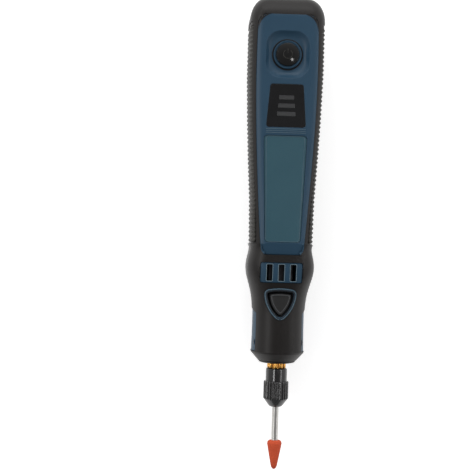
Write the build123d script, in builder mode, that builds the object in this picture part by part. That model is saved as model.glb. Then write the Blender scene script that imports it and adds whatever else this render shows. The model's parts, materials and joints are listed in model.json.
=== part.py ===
from build123d import *
import math
import os

os.makedirs("parts", exist_ok=True)

# A cordless pen rotary tool with a grinding bit in its chuck, lying on its back.
# X runs across the tool, Y from the bit towards the tail, Z up, out of the front panel.
# A station is a distance in millimetres from the nose face towards the tail.
# The origin is under the middle of the tool's box, on the surface it lies on.

# Housing, driving sizes
tip_length = 4.6
collar_length = 46.9
tail_length = 10.4
axis_height = 15.0
body_half_width = 16.2
body_front_rise = 15.6
back_flat_cut = 0.3
body_corner = 6.2
tail_drop = 7.5
overmold_thickness = 1.4
shell_wall = 1.8
bond_gap = 0.05

# Windows where the hard shell shows through the soft cover
panel_rise = 0.35
window_sink = 0.35
window_gap = 0.15
panel_half_width = 13.0
panel_end_margin = 8.4
panel_corner = 5.0
chin_overhang = 4.3
chin_length = 4.9
chin_drop = 1.1
vent_window_width = 18.0
vent_window_length = 8.6
vent_window_corner = 0.8
vent_window_setback = 3.5
vent_slot_count = 3
vent_slot_width = 2.5
vent_slot_length = 7.1
vent_slot_pitch = 5.1
vent_slot_corner = 0.4
side_window_half_height = 6.4
side_window_length = 16.4
side_window_point = 3.0
side_window_setback = 0.4
side_window_depth = 6.0
cap_groove_width = 1.6
cap_groove_setback = 1.0
cap_groove_half_height = 12.6

# Dish round the power button
dish_setback = 17.1
dish_width = 18.8
dish_length = 20.4
dish_depth = 2.2
dish_floor_width = 13.0
dish_floor_length = 13.4
dish_floor_corner = 6.3
dish_bend_share = 0.42
dish_spread_share = 0.68
dish_wall = 1.6
dish_pad_margin = 1.2
button_ring_width = 1.05
button_ring_height = 0.8

# Grip strips
strip_end_margin = 0.6
rib_pitch = 1.9
rib_rise = 0.3
rib_depth = 0.75
strip_depth = 0.9
strip_clearance = 0.08
strip_spread_angle = 38.0
strip_spread_clearance = 0.8

# Lens, light bars and front inlay
lens_setback = 12.9
lens_length = 18.3
lens_nose_width = 16.9
lens_tail_width = 14.0
lens_corner = 1.2
light_bar_count = 3
light_bar_pitch = 3.5
light_bar_height = 1.7
light_bar_long = 7.75
light_bar_step = 0.68
light_bar_end_margin = 5.7
light_bar_corner = 0.2
inlay_foot_margin = 5.3
inlay_lens_margin = 3.6
inlay_tail_width = 18.4
inlay_nose_width = 15.2
inlay_corner = 1.6
pocket_clearance = 0.1

# Power button and its switch
button_radius = 4.9
button_rim_height = 0.8
button_dome = 0.7
button_flange_width = 0.9
button_flange_thickness = 0.8
button_flange_gap = 0.1
button_travel = 0.5
button_clearance = 0.12
switch_body_size = 6.0
switch_body_height = 2.1
switch_corner = 0.5
plunger_radius = 1.6
plunger_gap = 0.1
plunger_floor_gap = 0.2
plunger_overlap = 0.4

# Boards and charging socket
board_width = 18.0
board_nose_margin = 6.7
board_tail_margin = 6.6
board_thickness = 1.2
board_gap = 0.4
board_post_radius = 1.6
board_post_inset = 2.4
seat_gap = 0.05
led_size = 1.8
led_height = 0.8
led_gap = 0.2
charge_board_width = 12.8
charge_board_length = 14.0
charge_board_thickness = 1.0
socket_width = 7.6
socket_height = 2.7
socket_depth = 5.4
socket_wall = 0.3
socket_corner = 0.6
socket_tongue_width = 4.6
socket_tongue_height = 0.6
socket_clearance = 0.2
recess_width = 11.0
recess_height = 6.6
recess_corner = 1.5

# Cell
cell_radius = 9.1
cell_length = 65.0
cell_level = 12.75
cell_crimp_length = 1.2
cell_crimp_start = 3.0
cell_crimp_depth = 0.35
cell_button_radius = 3.0
cell_button_height = 0.8
cell_clearance = 0.15
cell_rib_count = 3
cell_rib_thickness = 2.0
cell_rib_level = 9.5
tab_width = 6.0
tab_thickness = 0.3
tab_height = 10.0

# Motor
motor_radius = 10.0
motor_flat_height = 17.2
motor_length = 26.0
motor_can_wall = 0.9
motor_can_front = 1.2
motor_boss_radius = 3.2
motor_boss_length = 1.2
motor_clearance = 0.15
motor_rib_thickness = 2.0
motor_rib_margin = 2.0
bush_radius = 2.1
bush_length = 2.3
magnet_thickness = 1.5
magnet_half_angle = 38.0
magnet_length = 18.0
magnet_start = 4.0
air_gap = 0.45
rotor_length = 14.0
rotor_start = 6.0
rotor_hub_radius = 2.6
rotor_web = 2.4
rotor_shoe = 1.2
rotor_shoe_half_angle = 46.0
pole_count = 3
coil_width = 6.4
coil_overhang = 1.4
coil_clearance = 0.1
commutator_radius = 2.4
commutator_length = 3.0
commutator_gap = 0.6
shaft_radius = 1.0
running_clearance = 0.04
end_cap_thickness = 2.5
end_cap_spigot = 1.0
end_cap_boss_length = 1.0
brush_width = 1.6
brush_thickness = 0.5
brush_gap = 0.05
terminal_width = 2.4
terminal_thickness = 0.4
terminal_length = 2.6
terminal_offset = 5.6
middle_gap = 8.5
tail_gap = 3.2

# Spindle and front bearing
bearing_radius = 6.5
bearing_bore_radius = 3.0
bearing_width = 5.0
bearing_start = 3.0
bearing_ball_radius = 1.0
bearing_ball_count = 8
bearing_race_thickness = 1.15
bearing_ball_clearance = 0.03
bearing_lip = 1.1
bearing_lip_length = 2.2
nut_radius = 4.0
nut_flute_count = 12
nut_flute_radius = 0.5
nut_setback = 0.4
nut_length = 2.4
nose_hole_radius = 4.6
lock_disc_radius = 5.0
lock_disc_width = 6.0
lock_hole_count = 4
lock_hole_floor_gap = 0.6
lock_hole_clearance = 0.3
hub_radius = 4.0
hub_length = 5.0
hub_gap = 0.9
hub_bore_depth = 8.0
grub_radius = 1.5
grub_length = 2.6
stub_radius = 2.5
stub_length = 4.2

# Spindle lock
lock_station = 25.9
lock_ring_half_width = 6.9
lock_ring_rear = 5.9
lock_ring_apex = 7.7
lock_ring_bulge = 0.9
lock_ring_side_bulge = 2.3
lock_ring_corner = 2.3
lock_ring_apex_corner = 3.2
lock_ring_band = 1.05
lock_button_gap = 0.6
lock_cap_height = 2.5
lock_flange_margin = 1.1
lock_flange_thickness = 0.8
lock_flange_clearance = 0.4
lock_flange_gap = 0.1
lock_travel = 2.0
lock_pin_radius = 1.5
lock_pin_gap = 0.35
lock_pin_seat = 0.6
lock_pin_clearance = 0.1
lock_shelf_thickness = 0.9
lock_shelf_gap = 0.6
lock_shelf_length = 15.6
spring_wire_radius = 0.2
spring_radius = 2.3
spring_turns = 3
spring_pocket_radius = 2.8
spring_pocket_depth = 1.3
spring_end_gap = 0.04

# Chuck
chuck_body_radius = 4.8
chuck_body_length = 5.6
chuck_flat_count = 6
chuck_flat_depth = 0.2
chuck_spigot_radius = 4.5
sleeve_radius = 5.5
sleeve_length = 7.9
sleeve_cone_length = 3.6
sleeve_mouth_radius = 2.6
sleeve_mouth_wall = 0.45
sleeve_rib_count = 30
sleeve_rib_radius = 0.28
sleeve_rib_margin = 0.7
sleeve_clearance = 0.1
sleeve_gap = 0.1
jaw_cone_angle = 15.0
jaw_length = 7.0
jaw_slot = 0.4
jaw_travel = 1.9
jaw_clearance = 0.05
jaw_count = 3
jaw_tip_setback = 0.2
jaw_back_gap = 0.4

# Bit
shank_radius = 1.5
shank_seat_gap = 0.2
shank_visible_length = 14.8
shank_clearance = 0.03
shank_chamfer = 0.3
stone_length = 12.8
stone_base_radius = 2.2
stone_shoulder_radius = 3.2
stone_shoulder_length = 1.3
stone_tip_radius = 0.9
stone_tip_round = 0.6

# Screws
screw_head_radius = 2.0
screw_head_height = 1.4
screw_shank_radius = 1.1
screw_recess_radius = 2.35
screw_seat_level = 3.6
nose_screw_seat_level = 8.4
screw_length = 12.0
screw_pilot_clearance = 0.05
screw_boss_radius = 2.7
screw_post_radius = 3.4
screw_cross_width = 0.5
screw_cross_length = 2.4
screw_cross_depth = 0.7
tail_screw_across = 10.0
middle_screw_across = 8.0
nose_screw_across = 8.0

overrun = 1.0

# Stations and levels that follow from the sizes above
bearing_end = bearing_start + bearing_width
nose_block_end = bearing_end + bearing_lip_length
lock_disc_end = lock_station + lock_disc_width / 2
lock_hole_depth = lock_travel + lock_hole_floor_gap
hub_end = lock_disc_end + hub_length
motor_start = hub_end + hub_gap + motor_boss_length
motor_end = motor_start + motor_length
end_cap_end = motor_end + end_cap_thickness
cell_start = end_cap_end + middle_gap
cell_end = cell_start + cell_length
charge_board_start = cell_end + tail_gap
shell_inset = overmold_thickness
cavity_inset = overmold_thickness + shell_wall
housing_length = charge_board_start + charge_board_length + cavity_inset
collar_end = tip_length + collar_length
grip_length = housing_length - collar_end - tail_length
grip_end = collar_end + grip_length
body_back_depth = axis_height + back_flat_cut
nut_end = -nut_setback - nut_length
sleeve_start = nut_end - chuck_body_length
cone_start = sleeve_start - sleeve_length
chuck_end = cone_start - sleeve_cone_length
jaw_tip = chuck_end + jaw_tip_setback
chuck_spigot_length = sleeve_start - jaw_tip - jaw_length - jaw_travel - jaw_back_gap
shank_end = chuck_end - shank_visible_length
shank_start = nut_end - stub_length - shank_seat_gap
stone_end = shank_end - stone_length
nose_y = (-stone_end - housing_length) / 2
panel_top_level = axis_height + body_front_rise + panel_rise
panel_top = housing_length - panel_end_margin
panel_foot = collar_end - chin_overhang
panel_length = panel_top - panel_foot
dish_center = panel_top - dish_setback
lens_tail = dish_center - lens_setback
lens_nose = lens_tail - lens_length
inlay_foot = panel_foot + inlay_foot_margin
inlay_length = lens_nose - inlay_lens_margin - inlay_foot
vent_window_tail = panel_foot - vent_window_setback
vent_center = vent_window_tail - vent_window_length / 2
cap_groove_start = grip_end - cap_groove_setback - cap_groove_width
strip_start = collar_end + strip_end_margin
strip_length = cap_groove_start - strip_start
dish_floor_level = panel_top_level - dish_depth
pad_level = dish_floor_level - dish_wall
button_hole_radius = button_radius + button_clearance
button_foot_level = pad_level - button_flange_gap - button_flange_thickness
board_level = cell_level + cell_radius + board_gap
board_top = board_level + board_thickness
board_nose = lens_nose - board_nose_margin
board_length = dish_center + board_tail_margin - board_nose
switch_top = board_top + switch_body_height
plunger_well_depth = plunger_overlap + button_travel + plunger_floor_gap
led_top = board_top + led_height
charge_board_level = axis_height - socket_height / 2 - charge_board_thickness

# Section rows: shares of the stretch's length, then of the half width, the front rise,
# the back depth and the corner radius
grip_row_shares = (
    (0.0, 0.833, 0.917, 1.0, 1.2),
    (0.2, 0.852, 0.949, 1.0, 1.1),
    (0.385, 0.914, 0.974, 1.0, 1.04),
    (0.565, 0.963, 0.994, 1.0, 1.0),
    (0.76, 1.0, 1.0, 1.0, 1.0),
    (1.0, 1.0, 0.98, 1.0, 1.0),
)
collar_row_shares = (
    (0.0, 0.725, 0.753, 0.768, 1.75),
    (0.12, 0.722, 0.75, 0.764, 1.75),
    (0.24, 0.718, 0.746, 0.76, 1.74),
    (0.36, 0.717, 0.745, 0.759, 1.72),
    (0.535, 0.759, 0.795, 0.804, 1.66),
    (0.648, 0.84, 0.859, 0.876, 1.55),
    (0.819, 0.901, 0.923, 0.948, 1.35),
    (1.0, 0.864, 0.936, 1.0, 1.24),
)
tip_row_shares = ((0.0, 0.5), (0.14, 0.713), (0.86, 0.967), (1.0, 1.0))
tip_shift_share = 0.4
tip_row_end_share = collar_row_shares[0][1]
tail_row_count = 4
tail_corner_share = 0.5


def y_at(station):
    return nose_y + station


# A cross section plane. Its sketch has X across and Y up, from the spindle axis,
# and an extrusion from it runs towards the nose.
def cross_plane(station):
    return Plane(origin=(0, y_at(station), axis_height), x_dir=(1, 0, 0), z_dir=(0, -1, 0))


# A plane along the tool's middle. Its sketch has stations along X and heights above a level as Y.
def profile_plane(level, across=0):
    return Plane(origin=(across, y_at(0), level), x_dir=(0, 1, 0), z_dir=(1, 0, 0))


# A level plane at a height above the rest surface, centred over a station
def level_plane(height, station=0, across=0):
    return Plane(origin=(across, y_at(station), height), x_dir=(1, 0, 0), z_dir=(0, 0, 1))


def cell_plane(station):
    return Plane(origin=(0, y_at(station), cell_level), x_dir=(1, 0, 0), z_dir=(0, -1, 0))


def body_row(row, start, length):
    along, width, front, back, corner = row
    return (
        start + along * length,
        width * body_half_width,
        front * body_front_rise,
        back * body_back_depth,
        corner * body_corner,
    )


def grip_row(station):
    rows = [body_row(row, collar_end, grip_length) for row in grip_row_shares]
    for low, high in zip(rows, rows[1:]):
        if station <= high[0]:
            break
    part_way = (station - low[0]) / (high[0] - low[0])
    return [a + (b - a) * part_way for a, b in zip(low, high)]


def tail_rows(inset):
    station, width, front, back, corner = body_row(grip_row_shares[-1], collar_end, grip_length)
    rows = []
    for step in range(tail_row_count):
        turn = math.radians(90 * step / (tail_row_count - 1))
        drop = tail_drop * (1 - math.cos(turn))
        along = station + (tail_length - inset) * math.sin(turn)
        rows.append((along, width - drop, front - drop, back - drop, corner - drop * tail_corner_share))
    return rows


def tip_rows(inset):
    end = body_row(collar_row_shares[0], tip_length, collar_length)
    rows = []
    for along, size in tip_row_shares:
        shift = inset * (1 - along * (1 - tip_shift_share))
        rows.append([along * tip_length + shift] + [value * size for value in end[1:]])
    return rows


# One half of the housing's smooth form, drawn in by an inset all round. side is 1 for the
# front half, above the parting plane, and -1 for the back half.
def half_form(inset, side):
    collar_rows = [body_row(row, tip_length, collar_length) for row in collar_row_shares]
    collar_rows[0] = (tip_length + inset * tip_shift_share,) + collar_rows[0][1:]
    collar_rows[-1] = (collar_end - inset,) + collar_rows[-1][1:]
    grip_rows = [body_row(row, collar_end, grip_length) for row in grip_row_shares]
    grip_rows[0] = (collar_end - inset,) + grip_rows[0][1:]
    with BuildPart() as form:
        for rows in (tip_rows(inset), collar_rows, grip_rows, tail_rows(inset)):
            for station, width, front, back, corner in rows:
                wide = width - inset
                tall = (front if side > 0 else back) - inset
                round_off = max(corner - inset, inset * tail_corner_share)
                with BuildSketch(cross_plane(station)):
                    with BuildLine():
                        Line((-wide, 0), (wide, 0))
                        Line((wide, 0), (wide, side * (tall - round_off)))
                        RadiusArc(
                            (wide, side * (tall - round_off)),
                            (wide - round_off, side * tall),
                            -side * round_off,
                        )
                        Line((wide - round_off, side * tall), (-wide + round_off, side * tall))
                        RadiusArc(
                            (-wide + round_off, side * tall),
                            (-wide, side * (tall - round_off)),
                            -side * round_off,
                        )
                        Line((-wide, side * (tall - round_off)), (-wide, 0))
                    make_face()
            loft(ruled=rows[0][0] < tip_length)
    return form.part


# Outlines seen from above, drawn on a level plane over the spindle, with stations along Y.
# grow widens an outline all round.
panel_side_shares = ((1.0, 0.98), (0.66, 1.0), (0.484, 0.95), (0.23, 0.835), (0.045, 0.725))
panel_foot_share = 0.577


def panel_outline(grow):
    wide = panel_half_width + grow
    side = [(across * wide, panel_foot + along * panel_length) for along, across in panel_side_shares]
    side[0] = (side[0][0], panel_top + grow)
    foot = (panel_foot_share * wide, panel_foot - grow)
    with BuildSketch(level_plane(axis_height)) as outline:
        with BuildLine():
            Line((-side[0][0], side[0][1]), side[0])
            Spline(*side)
            Polyline(side[-1], foot, (-foot[0], foot[1]), (-side[-1][0], side[-1][1]))
            Spline(*[(-across, along) for across, along in reversed(side)])
        make_face()
        fillet(outline.vertices().group_by(Axis.Y)[-1], panel_corner)
    return outline.sketch


def plate_outline(nose, length, nose_width, tail_width, corner, grow):
    low = nose - grow
    high = nose + length + grow
    with BuildSketch(level_plane(axis_height)) as outline:
        with BuildLine():
            Polyline(
                (-nose_width / 2 - grow, low),
                (nose_width / 2 + grow, low),
                (tail_width / 2 + grow, high),
                (-tail_width / 2 - grow, high),
                close=True,
            )
        make_face()
        fillet(outline.vertices(), corner)
    return outline.sketch


# The shield round the spindle lock: a bowed triangle with its apex towards the nose
def shield_outline(grow):
    rear = lock_station + lock_ring_rear
    apex = lock_station - lock_ring_apex
    half = lock_ring_half_width
    middle = (rear + apex) / 2
    with BuildSketch(level_plane(axis_height)) as outline:
        with BuildLine():
            ThreePointArc((-half, rear), (0, rear + lock_ring_bulge), (half, rear))
            ThreePointArc((half, rear), (half / 2 + lock_ring_side_bulge, middle), (0, apex))
            ThreePointArc((0, apex), (-half / 2 - lock_ring_side_bulge, middle), (-half, rear))
        make_face()
        fillet(outline.vertices().sort_by(Axis.Y)[1:], lock_ring_corner)
        fillet(outline.vertices().sort_by(Axis.Y)[0], lock_ring_apex_corner)
        if grow != 0:
            offset(amount=grow)
    return outline.sketch


# An upright block over an outline, from a level up past the top of the housing
def upright(outline, level, height):
    with BuildPart() as block:
        with BuildSketch(level_plane(level)):
            add(outline.moved(Location((0, -nose_y, -axis_height))))
        extrude(amount=height)
    return block.part


def round_plug(station, length, radius):
    with BuildPart() as plug:
        with BuildSketch(cross_plane(station + length)):
            Circle(radius)
        extrude(amount=length)
    return plug.part


# A slice of the whole cross section between two stations, as wide and tall as the housing
def slab(station, length, low=None, high=None, width=None):
    bottom = -axis_height - overrun if low is None else low - axis_height
    top = body_front_rise + panel_rise + overrun if high is None else high - axis_height
    wide = 2 * body_half_width + 2 * overrun if width is None else width
    with BuildPart() as cut:
        with BuildSketch(cross_plane(station + length)):
            with Locations((0, (bottom + top) / 2)):
                Rectangle(wide, top - bottom)
        extrude(amount=length)
    return cut.part


front = 1
back = -1
block_height = body_front_rise + panel_rise + overrun

front_outer = half_form(0, front)
front_bond = half_form(overmold_thickness - bond_gap, front)
front_core = half_form(shell_inset, front)
front_cavity = half_form(cavity_inset, front)
front_proud = half_form(-panel_rise, front)
front_sunk = half_form(window_sink, front)
back_outer = half_form(0, back)
back_bond = half_form(overmold_thickness - bond_gap, back)
back_core = half_form(shell_inset, back)
back_cavity = half_form(cavity_inset, back)
back_sunk = half_form(window_sink, back)


def vent_window(grow):
    return plate_outline(
        vent_window_tail - vent_window_length,
        vent_window_length,
        vent_window_width,
        vent_window_width,
        vent_window_corner,
        grow,
    )


# The window in the side of the nose, seen from the side, with its point to the rear
def side_window(grow, side):
    nose = tip_length + side_window_setback - grow
    rear = tip_length + side_window_setback + side_window_length + grow
    high = side_window_half_height + grow
    with BuildPart() as block:
        with BuildSketch(profile_plane(axis_height, side * side_window_depth)):
            with BuildLine():
                Polyline(
                    (nose, -high),
                    (rear, -high),
                    (rear + side_window_point, 0),
                    (rear, high),
                    (nose, high),
                    close=True,
                )
            make_face()
        extrude(amount=side * body_half_width)
    return block.part


# The channel that a grip strip lies in and the strip itself share these outlines.
# reach is measured out of the housing's smooth side.
def strip_points(row, out_reach, in_reach, spread, side):
    station, width, rise, depth, corner = row
    flat = depth - corner
    points = []
    for reach, angles in (
        (out_reach, (spread, strip_spread_angle / 2, 0)),
        (in_reach, (0, strip_spread_angle / 2, spread)),
    ):
        for angle in angles:
            turn = math.radians(angle)
            across = width + reach - (corner + reach) * (1 - math.cos(turn))
            up = flat + (corner + reach) * math.sin(turn)
            points.append((side * across, up))
    mirrored = [(across, -up) for across, up in reversed(points)]
    half = len(points) // 2
    return points[:half] + mirrored[half:] + mirrored[:half] + points[half:]


def strip_channel(side):
    stations = [strip_start - strip_clearance]
    for row in grip_row_shares[1:-1]:
        stations.append(collar_end + row[0] * grip_length)
    stations.append(strip_start + strip_length + strip_clearance)
    with BuildPart() as channel:
        for station in stations:
            points = strip_points(
                grip_row(station),
                2 * rib_depth,
                -strip_depth - strip_clearance,
                strip_spread_angle + strip_spread_clearance,
                side,
            )
            with BuildSketch(cross_plane(station)):
                with BuildLine():
                    Polyline(*points, close=True)
                make_face()
        loft(ruled=True)
    return channel.part


left = -1
right = 1


# Cuts that both halves share
strip_channels = [strip_channel(side) for side in (left, right)]
groove_slice = slab(
    cap_groove_start,
    cap_groove_width,
    axis_height - cap_groove_half_height,
    axis_height + cap_groove_half_height,
)
screw_places = (
    (charge_board_start + screw_head_radius, tail_screw_across, screw_seat_level),
    (end_cap_end + middle_gap / 2 + end_cap_boss_length / 2, middle_screw_across, screw_seat_level),
    (lock_disc_end + hub_length / 2, nose_screw_across, nose_screw_seat_level),
)


# Planes over the screws, at a level above each screw's seat or above the rest surface
def screw_spots(level, from_seat=False):
    spots = []
    for station, across, seat in screw_places:
        for side in (left, right):
            spots.append(level_plane(level + seat * from_seat, station, side * across))
    return spots


with BuildPart() as tail_recess:
    with BuildSketch(cross_plane(housing_length + overrun)):
        RectangleRounded(recess_width, recess_height, recess_corner)
    extrude(amount=overmold_thickness + overrun + bond_gap)

with BuildPart() as socket_hole:
    with BuildSketch(cross_plane(housing_length)):
        RectangleRounded(
            socket_width + 2 * socket_clearance,
            socket_height + 2 * socket_clearance,
            socket_corner,
        )
    extrude(amount=cavity_inset + overrun)


screw_pilot_radius = screw_shank_radius + screw_pilot_clearance


# Round cuts on the screws' axes, between two levels measured from their seats
def screw_column(radius, low, high):
    with BuildPart() as columns:
        for spot in screw_spots(low, True):
            with BuildSketch(spot):
                Circle(radius)
            extrude(amount=high - low)
    return columns.part


# The round way through the nose, with the seat of the bearing
with BuildPart() as nose_bore:
    add(round_plug(-overrun, bearing_start + overrun, nose_hole_radius))
    add(round_plug(bearing_start, bearing_width, bearing_radius + seat_gap))
    add(round_plug(bearing_end, bearing_lip_length + overrun, bearing_radius - bearing_lip))


# The soft cover, front half
with BuildPart() as front_groove:
    add(groove_slice)
    add(front_sunk, mode=Mode.SUBTRACT)
with BuildPart() as front_overmold:
    add(front_outer)
    add(front_bond, mode=Mode.SUBTRACT)
    for outline in (panel_outline(window_gap), vent_window(window_gap), shield_outline(window_gap)):
        add(upright(outline, axis_height - overrun, block_height + overrun), mode=Mode.SUBTRACT)
    for side in (left, right):
        add(side_window(window_gap, side), mode=Mode.SUBTRACT)
    add(strip_channels, mode=Mode.SUBTRACT)
    add(front_groove.part, mode=Mode.SUBTRACT)
    add(tail_recess.part, mode=Mode.SUBTRACT)
    add(nose_bore.part, mode=Mode.SUBTRACT)
front_overmold.part.label = "front_overmold"
export_step(front_overmold.part, "parts/front_overmold.step")

# The soft cover, back half, flat where the tool rests, with the screws' wells
with BuildPart() as back_groove:
    add(groove_slice)
    add(back_sunk, mode=Mode.SUBTRACT)
with BuildPart() as back_overmold:
    add(back_outer)
    add(back_bond, mode=Mode.SUBTRACT)
    add(slab(-overrun, housing_length + 2 * overrun, high=0), mode=Mode.SUBTRACT)
    for side in (left, right):
        add(side_window(window_gap, side), mode=Mode.SUBTRACT)
    add(strip_channels, mode=Mode.SUBTRACT)
    add(back_groove.part, mode=Mode.SUBTRACT)
    add(tail_recess.part, mode=Mode.SUBTRACT)
    add(nose_bore.part, mode=Mode.SUBTRACT)
    add(screw_column(screw_recess_radius, -nose_screw_seat_level, 0), mode=Mode.SUBTRACT)
back_overmold.part.label = "back_overmold"
export_step(back_overmold.part, "parts/back_overmold.step")


# What carries the inside parts in both shells: the nose block with the bearing's seat,
# and two ribs round the motor
def carriers(core):
    with BuildPart() as frame:
        add(slab(0, nose_block_end))
        for station in (
            motor_start + motor_rib_margin,
            motor_end - motor_rib_margin - motor_rib_thickness,
        ):
            with BuildSketch(cross_plane(station + motor_rib_thickness)):
                Rectangle(2 * body_half_width, 2 * body_half_width)
                Circle(motor_radius + motor_clearance, mode=Mode.SUBTRACT)
            extrude(amount=motor_rib_thickness)
        add(core, mode=Mode.INTERSECT)
    return frame.part


# The bowl-shaped dish that the power button stands in: its slope steepens towards the rim
dish_slope = overrun / dish_depth
dish_steps = ((0, 0), (dish_bend_share, dish_spread_share), (1, 1), (1 + dish_slope, 1 + dish_slope / 2))
with BuildPart() as dish:
    for lift, spread in dish_steps:
        with BuildSketch(level_plane(dish_floor_level + lift * dish_depth, dish_center)):
            RectangleRounded(
                dish_floor_width + (dish_width - dish_floor_width) * spread,
                dish_floor_length + (dish_length - dish_floor_length) * spread,
                dish_floor_corner,
            )
    loft()

# The slope at the panel's foot
chin_base = body_front_rise * (1 - grip_row_shares[0][2])
with BuildPart() as chin_cut:
    with BuildSketch(profile_plane(panel_top_level, -body_half_width)):
        with BuildLine():
            Polyline(
                (panel_foot + chin_length, overrun),
                (panel_foot + chin_length, -chin_base),
                (panel_foot - overrun, -chin_base - chin_drop * (1 + overrun / chin_length)),
                (panel_foot - overrun, overrun),
                close=True,
            )
        make_face()
    extrude(amount=2 * body_half_width)

lens_shape = (lens_nose, lens_length, lens_nose_width, lens_tail_width, lens_corner)
inlay_shape = (inlay_foot, inlay_length, inlay_nose_width, inlay_tail_width, inlay_corner)


def light_bars(grow, level):
    with BuildPart() as bars:
        for row in range(light_bar_count):
            station = lens_nose + light_bar_end_margin + row * light_bar_pitch
            with BuildSketch(level_plane(level, station)):
                RectangleRounded(
                    light_bar_long - row * light_bar_step + 2 * grow,
                    light_bar_height + 2 * grow,
                    light_bar_corner,
                )
            extrude(amount=block_height)
    return bars.part


vent_slots = []
for column in range(vent_slot_count):
    across = (column - (vent_slot_count - 1) / 2) * vent_slot_pitch
    vent_slots.append(level_plane(axis_height, vent_center, across))

lock_button_grow = -lock_ring_band - lock_button_gap
lock_flange_grow = lock_button_grow + lock_flange_margin
lock_top_level = axis_height + tip_row_end_share * body_half_width + panel_rise
lock_flange_top = lock_top_level - lock_cap_height
lock_shelf_level = axis_height + lock_disc_radius + lock_shelf_gap
lock_shelf_top = lock_shelf_level + lock_shelf_thickness

lock_foot_level = lock_flange_top - lock_flange_gap - lock_flange_thickness
lock_opening = upright(shield_outline(-lock_ring_band), lock_shelf_top, block_height)
lock_flange_well = upright(
    shield_outline(lock_flange_grow + lock_flange_clearance),
    lock_shelf_top,
    lock_flange_top - lock_shelf_top,
)
with BuildPart() as lens_pocket:
    add(upright(plate_outline(*lens_shape, pocket_clearance), axis_height, block_height))
    add(front_core, mode=Mode.SUBTRACT)
with BuildPart() as inlay_pocket:
    add(upright(plate_outline(*inlay_shape, pocket_clearance), axis_height, block_height))
    add(front_sunk, mode=Mode.SUBTRACT)

# The hard shell, front half
with BuildPart() as front_panel_land:
    add(upright(panel_outline(0), axis_height, block_height))
    add(chin_cut.part, mode=Mode.SUBTRACT)
    add(front_proud, mode=Mode.INTERSECT)
with BuildPart() as front_ring_land:
    add(upright(shield_outline(0), axis_height, block_height))
    add(front_proud, mode=Mode.INTERSECT)
with BuildPart() as front_sunk_lands:
    add(upright(vent_window(0), axis_height, block_height))
    for side in (left, right):
        add(side_window(0, side))
    add(front_sunk, mode=Mode.INTERSECT)
with BuildPart() as front_inside:
    add(carriers(front_core))
    for spot in screw_spots(axis_height):
        with BuildSketch(spot):
            Circle(screw_boss_radius)
        extrude(amount=block_height)
    for side in (left, right):
        for end in (board_post_inset, board_length - board_post_inset):
            across = side * (board_width / 2 - board_post_inset)
            with BuildSketch(level_plane(board_top + seat_gap, board_nose + end, across)):
                Circle(board_post_radius)
            extrude(amount=block_height)
    with BuildSketch(level_plane(pad_level, dish_center)):
        RectangleRounded(
            dish_floor_width + 2 * dish_pad_margin,
            dish_floor_length + 2 * dish_pad_margin,
            dish_floor_corner,
        )
    extrude(amount=block_height)
    add(slab(lock_station - lock_shelf_length / 2, lock_shelf_length, lock_shelf_level, lock_shelf_top))
    add(front_core, mode=Mode.INTERSECT)
with BuildPart() as front_shell:
    add(front_core)
    add(front_panel_land.part)
    add(front_ring_land.part)
    add(front_sunk_lands.part)
    add(front_cavity, mode=Mode.SUBTRACT)
    add(front_inside.part)
    add(dish.part, mode=Mode.SUBTRACT)
    with BuildSketch(level_plane(dish_floor_level, dish_center)):
        Circle(button_hole_radius + button_ring_width)
    extrude(amount=button_ring_height)
    with BuildSketch(level_plane(pad_level - overrun, dish_center)):
        Circle(button_hole_radius)
    extrude(amount=block_height, mode=Mode.SUBTRACT)
    add(lens_pocket.part, mode=Mode.SUBTRACT)
    add(inlay_pocket.part, mode=Mode.SUBTRACT)
    add(screw_column(screw_pilot_radius, 0, screw_length + screw_pilot_clearance), mode=Mode.SUBTRACT)
    add(nose_bore.part, mode=Mode.SUBTRACT)
    add(lock_opening, mode=Mode.SUBTRACT)
    add(lock_flange_well, mode=Mode.SUBTRACT)
    with BuildSketch(level_plane(axis_height, lock_station)):
        Circle(lock_pin_radius + lock_pin_clearance)
    extrude(amount=block_height, mode=Mode.SUBTRACT)
    add(socket_hole.part, mode=Mode.SUBTRACT)
    add(light_bars(pocket_clearance, axis_height), mode=Mode.SUBTRACT)
    for slot in vent_slots:
        with BuildSketch(slot):
            RectangleRounded(vent_slot_width, vent_slot_length, vent_slot_corner)
        extrude(amount=block_height, mode=Mode.SUBTRACT)
front_shell.part.label = "front_shell"
export_step(front_shell.part, "parts/front_shell.step")

# The hard shell, back half, with the cell's cradle and the screws' posts
with BuildPart() as back_sunk_lands:
    for side in (left, right):
        add(side_window(0, side))
    add(back_sunk, mode=Mode.INTERSECT)
with BuildPart() as back_inside:
    add(carriers(back_core))
    for spot in screw_spots(0):
        with BuildSketch(spot):
            Circle(screw_post_radius)
        extrude(amount=axis_height)
    for rib in range(cell_rib_count):
        station = cell_start + cell_length * (rib + 0.5) / cell_rib_count
        add(slab(station - cell_rib_thickness / 2, cell_rib_thickness, high=cell_rib_level))
    with BuildSketch(cell_plane(cell_end)):
        Circle(cell_radius + cell_clearance)
    extrude(amount=cell_length, mode=Mode.SUBTRACT)
    add(
        slab(
            charge_board_start + tail_gap,
            charge_board_length,
            high=charge_board_level - seat_gap,
            width=charge_board_width - 2 * board_post_inset,
        )
    )
    add(back_core, mode=Mode.INTERSECT)
with BuildPart() as back_shell:
    add(back_core)
    add(back_sunk_lands.part)
    add(back_cavity, mode=Mode.SUBTRACT)
    add(back_inside.part)
    add(screw_column(screw_recess_radius, -nose_screw_seat_level, 0), mode=Mode.SUBTRACT)
    add(screw_column(screw_pilot_radius, 0, screw_length), mode=Mode.SUBTRACT)
    add(nose_bore.part, mode=Mode.SUBTRACT)
    add(socket_hole.part, mode=Mode.SUBTRACT)
back_shell.part.label = "back_shell"
export_step(back_shell.part, "parts/back_shell.step")

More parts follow.
